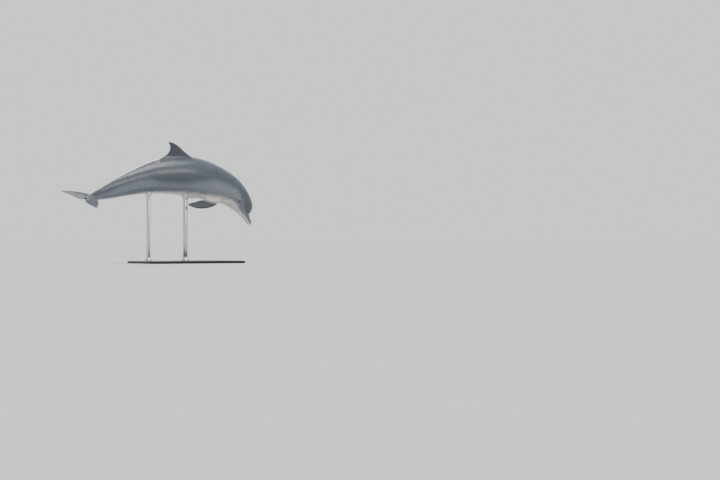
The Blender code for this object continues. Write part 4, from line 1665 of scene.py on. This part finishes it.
def placed(tree, group, **values):
    """A group in a material, with its own values. The sockets of its results."""
    made = tree.nodes.new("ShaderNodeGroup")
    made.node_tree = group
    for key, value in values.items():
        wire(tree, value, made.inputs[key.capitalize()])
    return made.outputs


print("group helpers ready")

# %% Tooth scratches
SCRATCH_BOW = 3.0
SCRATCH_EDGE = (0.86, 0.99)
SCRATCH_REACH = (0.012, 0.047)
FAN_HALF_COUNT = 2.4


def scratch_group():
    """Fans of parallel scratches, each fan in a cell of its own and at its own slant."""
    group, inputs, results = new_group(
        "tooth_scratches", {"Vector": None, "Cells": 7.0, "Spacing": 0.006, "Share": 0.3}, ["Mask"]
    )
    cells = random_cells(group, inputs["Vector"], inputs["Cells"], voronoi_dimensions="2D")
    slant_luck, reach_luck, share_luck = split(group, cells["Color"], "Color")
    from_centre = vector_maths(group, "SUBTRACT", inputs["Vector"], cells["Position"])
    local = turned(group, from_centre, times(group, slant_luck, math.pi))
    u, v, _ = split(group, local)
    bowed = plus(group, v, times(group, u, u), SCRATCH_BOW)
    turns = maths(group, "DIVIDE", bowed, inputs["Spacing"])
    wave = maths(group, "COSINE", times(group, turns, 2 * math.pi))
    line = step_between(group, wave, *SCRATCH_EDGE)
    reach = spread(group, reach_luck, *SCRATCH_REACH)
    beyond = step_between(group, maths(group, "ABSOLUTE", u), times(group, reach, 0.4), reach)
    inside = maths(group, "SUBTRACT", 1.0, beyond)
    across = maths(group, "ABSOLUTE", maths(group, "DIVIDE", v, inputs["Spacing"]))
    few = maths(group, "LESS_THAN", across, FAN_HALF_COUNT)
    lucky = maths(group, "LESS_THAN", share_luck, inputs["Share"])
    wire(group, times(group, line, inside, few, lucky), results["Mask"])
    return group


tooth_scratches = scratch_group()
print("group", tooth_scratches.name, "has", len(tooth_scratches.nodes), "nodes")

# %% Freckles
def freckle_group():
    """Small round spots of random size."""
    group, inputs, results = new_group(
        "freckles", {"Vector": None, "Cells": 60.0, "Size": 0.3}, ["Mask"]
    )
    cells = random_cells(group, inputs["Vector"], inputs["Cells"])
    luck, _, _ = split(group, cells["Color"], "Color")
    radius = times(group, luck, inputs["Size"])
    beyond = step_between(group, cells["Distance"], times(group, radius, 0.5), radius)
    wire(group, maths(group, "SUBTRACT", 1.0, beyond), results["Mask"])
    return group


freckles = freckle_group()
print("group", freckles.name, "has", len(freckles.nodes), "nodes")

# %% The skin's colours
CAPE_GREY = (0.044, 0.054, 0.069, 1)
FLANK_GREY = (0.128, 0.146, 0.167, 1)
BELLY_WHITE = (0.58, 0.545, 0.51, 1)
FIN_GREY = (0.037, 0.045, 0.057, 1)
FIN_UNDER = (0.120, 0.134, 0.150, 1)
# The dark marks' colour, also used for the painted shade at the ears.
MARK_AND_EAR_SHADE_GREY = (0.026, 0.031, 0.039, 1)
# Painted shade in the head's grooves and the blowhole's slit; the lids' edge is darkened with it too.
CREASE_SHADE_GREY = (0.018, 0.019, 0.022, 1)
SCAR_GREY = (0.38, 0.40, 0.42, 1)
FRECKLE_STRENGTH, SCAR_STRENGTH, CREASE_SHADE_STRENGTH = 0.16, 0.16, 0.8


def warped_edge(tree, edge, warps, softness):
    """A stored distance, pushed about by noises and turned into a soft mask."""
    for pattern, strength in warps:
        edge = plus(tree, edge, maths(tree, "SUBTRACT", pattern, 0.5), strength)
    return step_between(tree, edge, -softness, softness)


def body_colour(tree, broad, mottle):
    """Cape, flank and belly, and the fins with their paler undersides."""
    cape = warped_edge(tree, stored(tree, "cape"), [(broad, 0.34), (mottle, 0.16)], softness=0.24)
    belly = warped_edge(tree, stored(tree, "belly"), [(broad, -0.22), (mottle, 0.10)], softness=0.19)
    body = blend_colours(tree, cape, FLANK_GREY, CAPE_GREY)
    body = blend_colours(tree, belly, body, BELLY_WHITE)
    on_fin = blend_colours(tree, stored(tree, "underside"), FIN_GREY, FIN_UNDER)
    colour = blend_colours(tree, stored(tree, "fin"), body, on_fin)
    # The dark marks, with the painted shade at the ears.
    return blend_colours(tree, stored(tree, "dark"), colour, MARK_AND_EAR_SHADE_GREY)


def freckle_mask(tree, straight, broad):
    """Freckles where the flank meets the belly, and none on the fins."""
    off_fin = spread(tree, stored(tree, "fin"), FRECKLE_STRENGTH, 0.0)
    near_belly = warped_edge(tree, stored(tree, "belly"), [(broad, 0.9)], softness=0.35)
    spots = placed(tree, freckles, vector=straight, cells=85.0, size=0.36)
    return times(tree, spots["Mask"], near_belly, off_fin)


def scar_mask(tree, mottle, grain):
    """Scratches behind the head, in patches and broken by the grain."""
    lie = stored(tree, "lie", "Vector")
    scratches = placed(tree, tooth_scratches, vector=lie, cells=6.5, spacing=0.0045, share=0.30)
    patchy = times(tree, step_between(tree, mottle, 0.36, 0.60), stored(tree, "behind_head"))
    broken = step_between(tree, grain, 0.42, 0.60)
    return times(tree, scratches["Mask"], patchy, broken, SCAR_STRENGTH)


print("belly", BELLY_WHITE[:3], "cape", CAPE_GREY[:3])

# %% The skin's gloss and fine relief
def skin_finish():
    material, tree, shader = new_material("wet_skin")
    straight = stored(tree, "straight", "Vector")
    broad = noise(tree, straight, scale=4.5, detail=3.0)
    swell = noise(tree, straight, scale=13.0, detail=2.0)
    mottle = noise(tree, straight, scale=21.0, detail=5.0, roughness=0.62)
    grain = noise(tree, straight, scale=160.0, detail=3.0)
    scars = scar_mask(tree, mottle, grain)
    colour = body_colour(tree, broad, mottle)
    colour = blend_colours(tree, freckle_mask(tree, straight, broad), colour, FLANK_GREY)
    colour = blend_colours(tree, scars, colour, SCAR_GREY)
    shade = spread(tree, mottle, 0.75, 1.25)
    colour = blend_colours(tree, 1.0, colour, shade, "MULTIPLY")
    # Painted shade darkens the head's grooves and the blowhole's slit, and the lids' edge with them.
    painted_crease_shade = times(tree, stored(tree, "crease"), CREASE_SHADE_STRENGTH)
    colour = blend_colours(tree, painted_crease_shade, colour, CREASE_SHADE_GREY)
    wire(tree, colour, shader.inputs["Base Color"])
    rough = plus(tree, spread(tree, mottle, 0.27, 0.43), scars, 0.4)
    wire(tree, rough, shader.inputs["Roughness"])
    film = step_between(tree, noise(tree, straight, scale=9.0, detail=3.0), 0.35, 0.65)
    wire(tree, spread(tree, film, 0.25, 0.55), shader.inputs["Coat Weight"])
    set_inputs(shader, {"Coat Roughness": 0.15, "Coat IOR": 1.36, "IOR": 1.42})
    relief = [(swell, 0.30, 0.004), (mottle, 0.18, 0.0015), (grain, 0.10, 0.0006), (scars, 0.25, 0.0004)]
    bumps(tree, shader, relief)
    return material


wet_skin = skin_finish()
give_material(skin, wet_skin)
print("skin material has", len(wet_skin.node_tree.nodes), "nodes")

# %% [markdown]
# ## The eyes
#
# A dolphin's eye is a flattened ball with a wide, flat cornea. The iris is dark brown, and
# a lid of iris hangs into the pupil, so in daylight the pupil is a dark U on its side. The
# white hardly shows. What makes an eye look alive is its gloss: one sharp highlight on a
# wet surface.
#
# Each ball starts as a sphere with its pole at the cornea, which is then raised. Its place
# in the head and the pose are those of the skin round it, so the lids lie on it.

# %% Make the eyeballs
EYE_COLUMNS, EYE_RINGS = 64, 40
CORNEA_EDGES = (0.35, 0.80)
CORNEA_RISE = 0.0010


def make_eye(side, name):
    deselect()
    bpy.ops.mesh.primitive_uv_sphere_add(segments=EYE_COLUMNS, ring_count=EYE_RINGS, radius=EYE_RADIUS)
    eye = bpy.context.object
    eye.name = name
    ball = vertices(eye)
    off_axis = np.hypot(ball[:, 0], ball[:, 1]) / EYE_RADIUS
    cornea = (1 - smoothstep(off_axis, *CORNEA_EDGES)) * (ball[:, 2] > 0)
    ball *= 1 + (CORNEA_RISE / EYE_RADIUS * cornea)[:, None]
    keep_values(eye, "gaze", ball * 1000)
    centre, outward, ahead, up = EYES[side]
    straight = centre + ball @ np.stack([ahead, up, outward])
    move_vertices(eye, spine.bend(straight) + lift)
    face_outwards(eye)
    eye.data.shade_smooth()
    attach(eye, "root")
    return eye


eyes = {1: make_eye(1, "eyeball_left"), -1: make_eye(-1, "eyeball_right")}
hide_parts("eye_left")
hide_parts("eye_right")
print("eyeballs of", len(eyes[1].data.polygons), "faces each")

# %% The iris and the pupil
# Half widths and half heights in millimetres.
IRIS_SIZE = (8.6, 7.2)
PUPIL_SIZE, PUPIL_LID = (4.4, 2.5), (2.3, 2.6)
PUPIL_LID_RISE = 2.1
IRIS_FIBRES = (7.0, 1.6)
IRIS_BROWN = (0.036, 0.017, 0.008, 1)
IRIS_DARK = (0.008, 0.005, 0.004, 1)
EYE_WHITE = (0.060, 0.038, 0.032, 1)
EYE_BLACK = (0.0015, 0.0015, 0.002, 1)


def ellipse(tree, x, y, size):
    """1 on the ellipse's outline, less inside it."""
    wide = maths(tree, "POWER", maths(tree, "DIVIDE", x, size[0]), 2.0)
    high = maths(tree, "POWER", maths(tree, "DIVIDE", y, size[1]), 2.0)
    return maths(tree, "SQRT", maths(tree, "ADD", wide, high))


def iris_fibres(tree, x, y, iris):
    """Fine fibres that run from the pupil to the iris's rim."""
    round_the_eye = times(tree, maths(tree, "ARCTAN2", y, x), IRIS_FIBRES[0])
    outwards = times(tree, iris, IRIS_FIBRES[1])
    return noise(tree, join_numbers(tree, round_the_eye, outwards), scale=2.2, detail=4.0, roughness=0.6)


def pupil_mask(tree, x, y):
    """A wide pupil with a lid of iris hanging into it."""
    outer = step_between(tree, ellipse(tree, x, y, PUPIL_SIZE), 1.06, 0.94)
    below_lid = maths(tree, "SUBTRACT", y, PUPIL_LID_RISE)
    off_lid = step_between(tree, ellipse(tree, x, below_lid, PUPIL_LID), 0.92, 1.08)
    return times(tree, outer, off_lid)


print("iris", IRIS_SIZE, "and pupil", PUPIL_SIZE, "in mm")

# %% The eye's finish
def eye_finish():
    material, tree, shader = new_material("wet_eye")
    gaze = stored(tree, "gaze", "Vector")
    x, y, _ = split(tree, gaze)
    iris = ellipse(tree, x, y, IRIS_SIZE)
    fibres = iris_fibres(tree, x, y, iris)
    colour = blend_colours(tree, step_between(tree, fibres, 0.30, 0.72), IRIS_DARK, IRIS_BROWN)
    colour = blend_colours(tree, step_between(tree, iris, 0.62, 0.98), colour, IRIS_DARK)
    white = blend_colours(tree, noise(tree, gaze, scale=0.55, detail=4.0), EYE_WHITE, IRIS_DARK)
    colour = blend_colours(tree, step_between(tree, iris, 1.02, 1.20), colour, white)
    colour = blend_colours(tree, pupil_mask(tree, x, y), colour, EYE_BLACK)
    wire(tree, colour, shader.inputs["Base Color"])
    rough = spread(tree, step_between(tree, iris, 0.95, 1.35), 0.05, 0.21)
    wire(tree, rough, shader.inputs["Roughness"])
    wire(tree, spread(tree, fibres, 0.8, 1.0), shader.inputs["Coat Weight"])
    set_inputs(shader, {"Coat Roughness": 0.02, "Coat IOR": 1.36, "Specular IOR Level": 0.1})
    bumps(tree, shader, [(noise(tree, gaze, scale=0.35, detail=2.0), 0.06, 0.0006)])
    return material


wet_eye = eye_finish()
for eye in eyes.values():
    give_material(eye, wet_eye)
print("eye material has", len(wet_eye.node_tree.nodes), "nodes")

# %% [markdown]
# ## The stand
#
# The leap is held by a plain museum stand: a heavy lacquered base, two turned sockets
# screwed to it, two rods of brushed steel, and on each rod a cup that fits the belly.
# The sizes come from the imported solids. These are machined parts, so they are modelled as
# they would be made: a blank, then steps extruded and tapered out of its top face, and
# every sharp edge broken with a bevel, because it is the bevels that catch the light.

# %% Helpers for turned and machined parts
SIDES = 96
SMOOTH_ANGLE = math.radians(35)
BROKEN_ANGLE = math.radians(30)


def axis_of(node_name):
    """Middle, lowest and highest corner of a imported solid."""
    low, high = (np.array(corner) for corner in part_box(node_name))
    return (low + high) / 2, low, high


def radius_of(node_name):
    _, low, high = axis_of(node_name)
    return (high[0] - low[0]) / 2


def blank(name, radius, bottom, top, at, sides=SIDES):
    """A round blank standing upright, with its place in its mesh."""
    deselect()
    middle = (at[0], at[1], (bottom + top) / 2)
    bpy.ops.mesh.primitive_cylinder_add(
        vertices=sides, radius=radius, depth=top - bottom, location=middle, end_fill_type="NGON"
    )
    piece = bpy.context.object
    piece.name = name
    bpy.ops.object.transform_apply(location=True, rotation=True, scale=True)
    return piece


def select_top(piece):
    """The faces at the very top that look up."""
    top = vertices(piece)[:, 2].max()
    looks_up = np.array([face.normal.z > 0.5 for face in piece.data.polygons])
    select_faces(piece, (face_centres(piece)[:, 2] > top - SAME_PLACE) & looks_up)


def step_up(piece, at, rise, scale=1):
    """Extrudes the top face and widens or narrows it about the part's axis."""
    select_top(piece)
    edit(piece)
    bpy.ops.mesh.extrude_region_move(TRANSFORM_OT_translate={"value": (0, 0, rise)})
    bpy.ops.transform.resize(value=(scale, scale, 1), center_override=(at[0], at[1], 0))
    leave()


def step_in(piece, *steps):
    """Insets the top face and raises or sinks it, once for each (inset, rise)."""
    select_top(piece)
    edit(piece)
    for inset, rise in steps:
        bpy.ops.mesh.inset(thickness=inset, use_even_offset=True)
        bpy.ops.mesh.extrude_region_move(TRANSFORM_OT_translate={"value": (0, 0, rise)})
    leave()


def break_edges(piece, width, segments=3, angle=BROKEN_ANGLE):
    limits = {"limit_method": "ANGLE", "angle_limit": angle}
    apply_modifier(piece, "BEVEL", width=width, segments=segments, **limits)


def finish_part(piece, node_name):
    """Smooth faces, sharp edges, and the solid that the piece stands for."""
    activate(piece)
    bpy.ops.object.shade_smooth_by_angle(angle=SMOOTH_ANGLE)
    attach(piece, "root")
    if node_name:
        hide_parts(node_name)
    return piece


print("front rod of radius", round(1000 * float(radius_of("stand_rod_front")), 1), "mm")

# %% The base
BASE_CORNER, CORNER_STEPS = 0.100, 16
BASE_EDGE, BASE_EDGE_ANGLE = 0.004, math.radians(60)
GROOVE_INSET, GROOVE_WIDTH, GROOVE_DEPTH = 0.018, 0.003, 0.0015


def make_base():
    middle, low, high = axis_of("stand_base")
    deselect()
    bpy.ops.mesh.primitive_cube_add(size=1, location=middle, scale=high - low)
    base = bpy.context.object
    base.name = "base_board"
    bpy.ops.object.transform_apply(location=True, rotation=True, scale=True)
    edit(base, "EDGE")
    bpy.ops.mesh.select_all(action="DESELECT")
    leave()
    ends = vertices(base)[edge_ends(base)]
    upright = np.abs(ends[:, 0, 2] - ends[:, 1, 2]) > 0.5 * (high[2] - low[2])
    base.data.edges.foreach_set("select", upright)
    edit(base, "EDGE")
    bpy.ops.mesh.bevel(offset=BASE_CORNER, segments=CORNER_STEPS, affect="EDGES")
    leave()
    break_edges(base, BASE_EDGE, segments=4, angle=BASE_EDGE_ANGLE)
    step_in(base, (GROOVE_INSET, -GROOVE_DEPTH), (GROOVE_WIDTH, GROOVE_DEPTH))
    return base


base = finish_part(make_base(), "stand_base")
print("base of", len(base.data.polygons), "faces")

# %% [markdown]
# ## Sockets and screws
#
# A socket is a flange with a tapered neck, and a bore for the rod. On a lathe it would be
# cut out of one bar, and here it is likewise pulled out of one blank: the top face is inset
# and raised for the neck, drawn together for the taper, and inset and sunk for the bore.
# Four cap screws hold each flange. One is modelled, with a hexagon cut into its head by a
# Boolean, and copied round the axis.

# %% Sockets
RODS = ("front", "rear")
FLANGE_THICKNESS = 0.007
NECK_OVER_ROD, RIM_OVER_ROD = 0.009, 0.006
BORE_CLEARANCE, BORE_DEPTH = 0.0004, 0.012
SOCKET_EDGE = 0.0012


def make_socket(label):
    at, low, high = axis_of(f"stand_socket_{label}")
    rod_radius = radius_of(f"stand_rod_{label}")
    flange = radius_of(f"stand_socket_{label}")
    neck, rim = rod_radius + NECK_OVER_ROD, rod_radius + RIM_OVER_ROD
    socket = blank(f"socket_{label}", flange, low[2], low[2] + FLANGE_THICKNESS, at)
    step_in(socket, (flange - neck, high[2] - low[2] - FLANGE_THICKNESS))
    select_top(socket)
    edit(socket)
    bpy.ops.transform.resize(value=(rim / neck, rim / neck, 1), center_override=tuple(at))
    leave()
    step_in(socket, (rim - rod_radius - BORE_CLEARANCE, -BORE_DEPTH))
    break_edges(socket, SOCKET_EDGE)
    return finish_part(socket, f"stand_socket_{label}")


sockets = [make_socket(label) for label in RODS]
print("sockets of", [len(socket.data.polygons) for socket in sockets], "faces")

# %% Screws
SCREW_RADIUS, SCREW_HEIGHT, SCREW_EDGE = 0.0042, 0.0040, 0.0005
SCREW_OVER_ROD = 0.0155
KEY_RADIUS, KEY_DEPTH = 0.0021, 0.0024
SEAT = 0.0002
SCREWS, FIRST_SCREW = 4, math.radians(45)


def make_screw(at, foot):
    """A cap screw with a key's hexagon cut into its head."""
    screw = blank("screw", SCREW_RADIUS, foot, foot + SCREW_HEIGHT, at, sides=32)
    break_edges(screw, SCREW_EDGE, segments=2)
    top = foot + SCREW_HEIGHT
    key = blank("key", KEY_RADIUS, top - KEY_DEPTH, top + KEY_DEPTH, at, sides=6)
    apply_modifier(screw, "BOOLEAN", object=key, operation="DIFFERENCE", solver="EXACT")
    bpy.data.objects.remove(key, do_unlink=True)
    return screw


def copy_moved(piece, shift):
    copy = piece.copy()
    copy.data = piece.data.copy()
    bpy.context.scene.collection.objects.link(copy)
    move_vertices(copy, vertices(copy) + shift)
    return copy


def make_screws(label):
    at, low, _ = axis_of(f"stand_socket_{label}")
    reach = radius_of(f"stand_rod_{label}") + SCREW_OVER_ROD
    first = make_screw((0, 0, 0), low[2] + FLANGE_THICKNESS + SEAT)
    copies = []
    for number in range(SCREWS):
        turn = FIRST_SCREW + 2 * math.pi * number / SCREWS
        shift = np.array([at[0] + reach * math.cos(turn), at[1] + reach * math.sin(turn), 0])
        copies.append(copy_moved(first, shift))
    bpy.data.objects.remove(first, do_unlink=True)
    activate(copies[0])
    for copy in copies[1:]:
        copy.select_set(True)
    bpy.ops.object.join()
    copies[0].name = f"screws_{label}"
    return finish_part(copies[0], None)


screws = [make_screws(label) for label in RODS]
print(SCREWS * len(screws), "screws")

# %% [markdown]
# ## Rods and cups
#
# Each rod is a plain bar with two turned grooves below its cup. The cup flares like the
# bell of a horn and ends in a thick lip. A maker would fit it by pressing the belly's shape
# into it. Here its inside is inset into rings, and a ray sent straight up from every point
# of the rings finds the belly, so the cup's top follows the skin with a hair's gap.

# %% Rods
ROD_GROOVE, GROOVE_HEIGHT, GROOVES = 0.0009, 0.002, 2
BAND_HEIGHT = 0.004
GROOVE_BELOW_CUP = 0.040
FOOT_OVER_BORE = 0.002
ROD_EDGE = 0.0003


def make_rod(label):
    node_name = f"stand_rod_{label}"
    at, low, high = axis_of(node_name)
    radius = radius_of(node_name)
    foot, first_groove = low[2] - BORE_DEPTH + FOOT_OVER_BORE, high[2] - GROOVE_BELOW_CUP
    rod = blank(f"rod_{label}", radius, foot, first_groove, at)
    for _ in range(GROOVES):
        step_in(rod, (ROD_GROOVE, GROOVE_HEIGHT))
        step_up(rod, at, 0, scale=radius / (radius - ROD_GROOVE))
        step_up(rod, at, BAND_HEIGHT)
    step_up(rod, at, high[2] - vertices(rod)[:, 2].max())
    break_edges(rod, ROD_EDGE, segments=2)
    return finish_part(rod, node_name)


rods = [make_rod(label) for label in RODS]
print("rods of", [len(rod.data.polygons) for rod in rods], "faces")

# %% Cups that fit the belly
CUP_OVER_ROD, CUP_FOOT = 0.010, 0.004
CUP_LIP_OVER_ROD, CUP_LIP_BELOW = 0.0205, 0.011
CUP_FLARE_STEPS, CUP_FLARE_POWER = 8, 1.7
CUP_GAP = 0.0006
CUP_RINGS = 6
CUP_EDGE, CUP_EDGE_ANGLE = 0.0012, math.radians(50)


def make_cup(label, skin_tree):
    node_name = f"stand_cup_{label}"
    _, low, _ = axis_of(node_name)
    at = axis_of(f"stand_rod_{label}")[0]
    rod_radius = radius_of(f"stand_rod_{label}")
    foot_radius, lip_radius = rod_radius + CUP_OVER_ROD, rod_radius + CUP_LIP_OVER_ROD
    flare = lip_radius - foot_radius

    def belly(x, y):
        return skin_tree.ray_cast(Vector((x, y, 0)), Vector((0, 0, 1)))[0].z

    lip_foot = belly(at[0], at[1]) - CUP_LIP_BELOW
    cup = blank(f"cup_{label}", foot_radius, low[2], low[2] + CUP_FOOT, at)
    rise = (lip_foot - low[2] - CUP_FOOT) / CUP_FLARE_STEPS
    before = foot_radius
    for step in range(1, CUP_FLARE_STEPS + 1):
        after = foot_radius + flare * (step / CUP_FLARE_STEPS) ** CUP_FLARE_POWER
        step_up(cup, at, rise, scale=after / before)
        before = after
    step_up(cup, at, CUP_LIP_BELOW)
    select_top(cup)
    edit(cup)
    for _ in range(CUP_RINGS):
        bpy.ops.mesh.inset(thickness=lip_radius / (CUP_RINGS + 1))
    leave()
    points = vertices(cup)
    on_top = np.flatnonzero(points[:, 2] > lip_foot + CUP_LIP_BELOW / 2)
    for index in on_top:
        points[index, 2] = belly(points[index, 0], points[index, 1]) - CUP_GAP
    move_vertices(cup, points)
    break_edges(cup, CUP_EDGE, angle=CUP_EDGE_ANGLE)
    return finish_part(cup, node_name)


skin_tree = BVHTree.FromPolygons(vertices(skin), [face.vertices for face in skin.data.polygons])
cups = [make_cup(label, skin_tree) for label in RODS]
print("cups of", [len(cup.data.polygons) for cup in cups], "faces")

# %% [markdown]
# ## Steel, lacquer and floor
#
# Turned steel is polished with a belt while it spins, which leaves fine lines round the
# part, and hands leave soft smudges. The lacquer on the base is a satin black that was
# sprayed, so it has a faint ripple, and dust and hairline scuffs gather on it. Both share
# a group for smudges and scuffs, and each sets how many there are and how far they show.

# %% Groups for brushing and for scuffs
BELT_SPREAD = 9.0
SCUFF_SLANTS = (0.3, 1.4, 2.3)
SCUFF_STRETCH = (1.0, 0.06, 1.0)


def brushing_group():
    """Fine lines round an upright part, as a belt leaves them."""
    group, inputs, results = new_group("belt_lines", {"Vector": None, "Fineness": 900.0}, ["Lines"])
    x, y, z = split(group, inputs["Vector"])
    flat = [times(group, x, BELT_SPREAD), times(group, y, BELT_SPREAD)]
    squeezed = join_numbers(group, *flat, times(group, z, inputs["Fineness"]))
    lines = noise(group, squeezed, scale=1.0, detail=5.0, roughness=0.7)
    wire(group, lines, results["Lines"])
    return group


def scuff_group():
    """Hairline scuffs that run all ways, and soft smudges."""
    group, inputs, results = new_group(
        "scuffs", {"Vector": None, "Cells": 14.0, "Width": 0.02}, ["Hairlines", "Smudges"]
    )
    vector = inputs["Vector"]
    lines = None
    for slant in SCUFF_SLANTS:
        stretched = vector_maths(group, "MULTIPLY", turned(group, vector, slant), SCUFF_STRETCH)
        cells = random_cells(group, stretched, inputs["Cells"], feature="DISTANCE_TO_EDGE")
        thin = step_between(group, cells["Distance"], inputs["Width"], 0.0)
        lines = thin if lines is None else maths(group, "MAXIMUM", lines, thin)
    broken = step_between(group, noise(group, vector, scale=11.0, detail=3.0), 0.52, 0.66)
    wire(group, times(group, lines, broken), results["Hairlines"])
    cloud = noise(group, vector, scale=6.0, detail=4.0, roughness=0.6)
    wire(group, step_between(group, cloud, 0.38, 0.72), results["Smudges"])
    return group


belt_lines, scuffs = brushing_group(), scuff_group()
print("groups", belt_lines.name, scuffs.name)

# %% Steel
STEEL_LIGHT, STEEL_DARK = (0.60, 0.60, 0.61, 1), (0.50, 0.50, 0.51, 1)


def steel_finish():
    material, tree, shader = new_material("brushed_steel")
    place = object_place(tree)
    lines = placed(tree, belt_lines, vector=place, fineness=1400.0)["Lines"]
    worn = placed(tree, scuffs, vector=place, cells=30.0, width=0.012)
    colour = blend_colours(tree, step_between(tree, lines, 0.3, 0.7), STEEL_DARK, STEEL_LIGHT)
    wire(tree, colour, shader.inputs["Base Color"])
    rough = plus(tree, spread(tree, lines, 0.18, 0.38), worn["Smudges"], 0.10)
    wire(tree, rough, shader.inputs["Roughness"])
    set_inputs(shader, {"Metallic": 1.0, "Anisotropic": 0.4})
    bumps(tree, shader, [(lines, 0.07, 0.0001), (worn["Hairlines"], 0.08, 0.0001)])
    return material


brushed_steel = steel_finish()
for piece in [*sockets, *screws, *rods, *cups]:
    give_material(piece, brushed_steel)
print("steel on", len(sockets + screws + rods + cups), "pieces")

# %% Lacquer
LACQUER_BLACK, DUST = (0.010, 0.010, 0.011, 1), (0.23, 0.225, 0.215, 1)


def lacquer_finish():
    material, tree, shader = new_material("satin_lacquer")
    place = object_place(tree)
    worn = placed(tree, scuffs, vector=place, cells=7.0, width=0.004)
    hairlines, smudges = worn["Hairlines"], worn["Smudges"]
    specks = placed(tree, freckles, vector=place, cells=260.0, size=0.22)
    dusty = plus(tree, times(tree, specks["Mask"], 0.20), smudges, 0.018)
    dusty = plus(tree, dusty, hairlines, 0.06)
    wire(tree, blend_colours(tree, dusty, LACQUER_BLACK, DUST), shader.inputs["Base Color"])
    rough = plus(tree, spread(tree, smudges, 0.36, 0.46), hairlines, 0.20)
    wire(tree, rough, shader.inputs["Roughness"])
    set_inputs(shader, {"Specular IOR Level": 0.32})
    ripple = noise(tree, place, scale=240.0, detail=2.0)
    bumps(tree, shader, [(ripple, 0.05, 0.0003), (hairlines, 0.10, 0.00008)])
    return material


satin_lacquer = lacquer_finish()
give_material(base, satin_lacquer)
print("lacquer has", len(satin_lacquer.node_tree.nodes), "nodes")

# %% Floor
FLOOR_CLOUDS = 0.985


def grey(brightness):
    return (brightness, brightness, brightness, 1)


def floor_finish():
    material, tree, shader = new_material("pale_floor")
    cloud = noise(tree, object_place(tree), scale=1.3, detail=3.0)
    pale = blend_colours(tree, cloud, grey(FLOOR_PALE), grey(FLOOR_PALE * FLOOR_CLOUDS))
    wire(tree, pale, shader.inputs["Base Color"])
    set_inputs(shader, {"Roughness": 0.9, "Specular IOR Level": 0.1})
    return material


give_material(floor, floor_finish())
print("materials", sorted(material.name for material in bpy.data.materials if material.users))
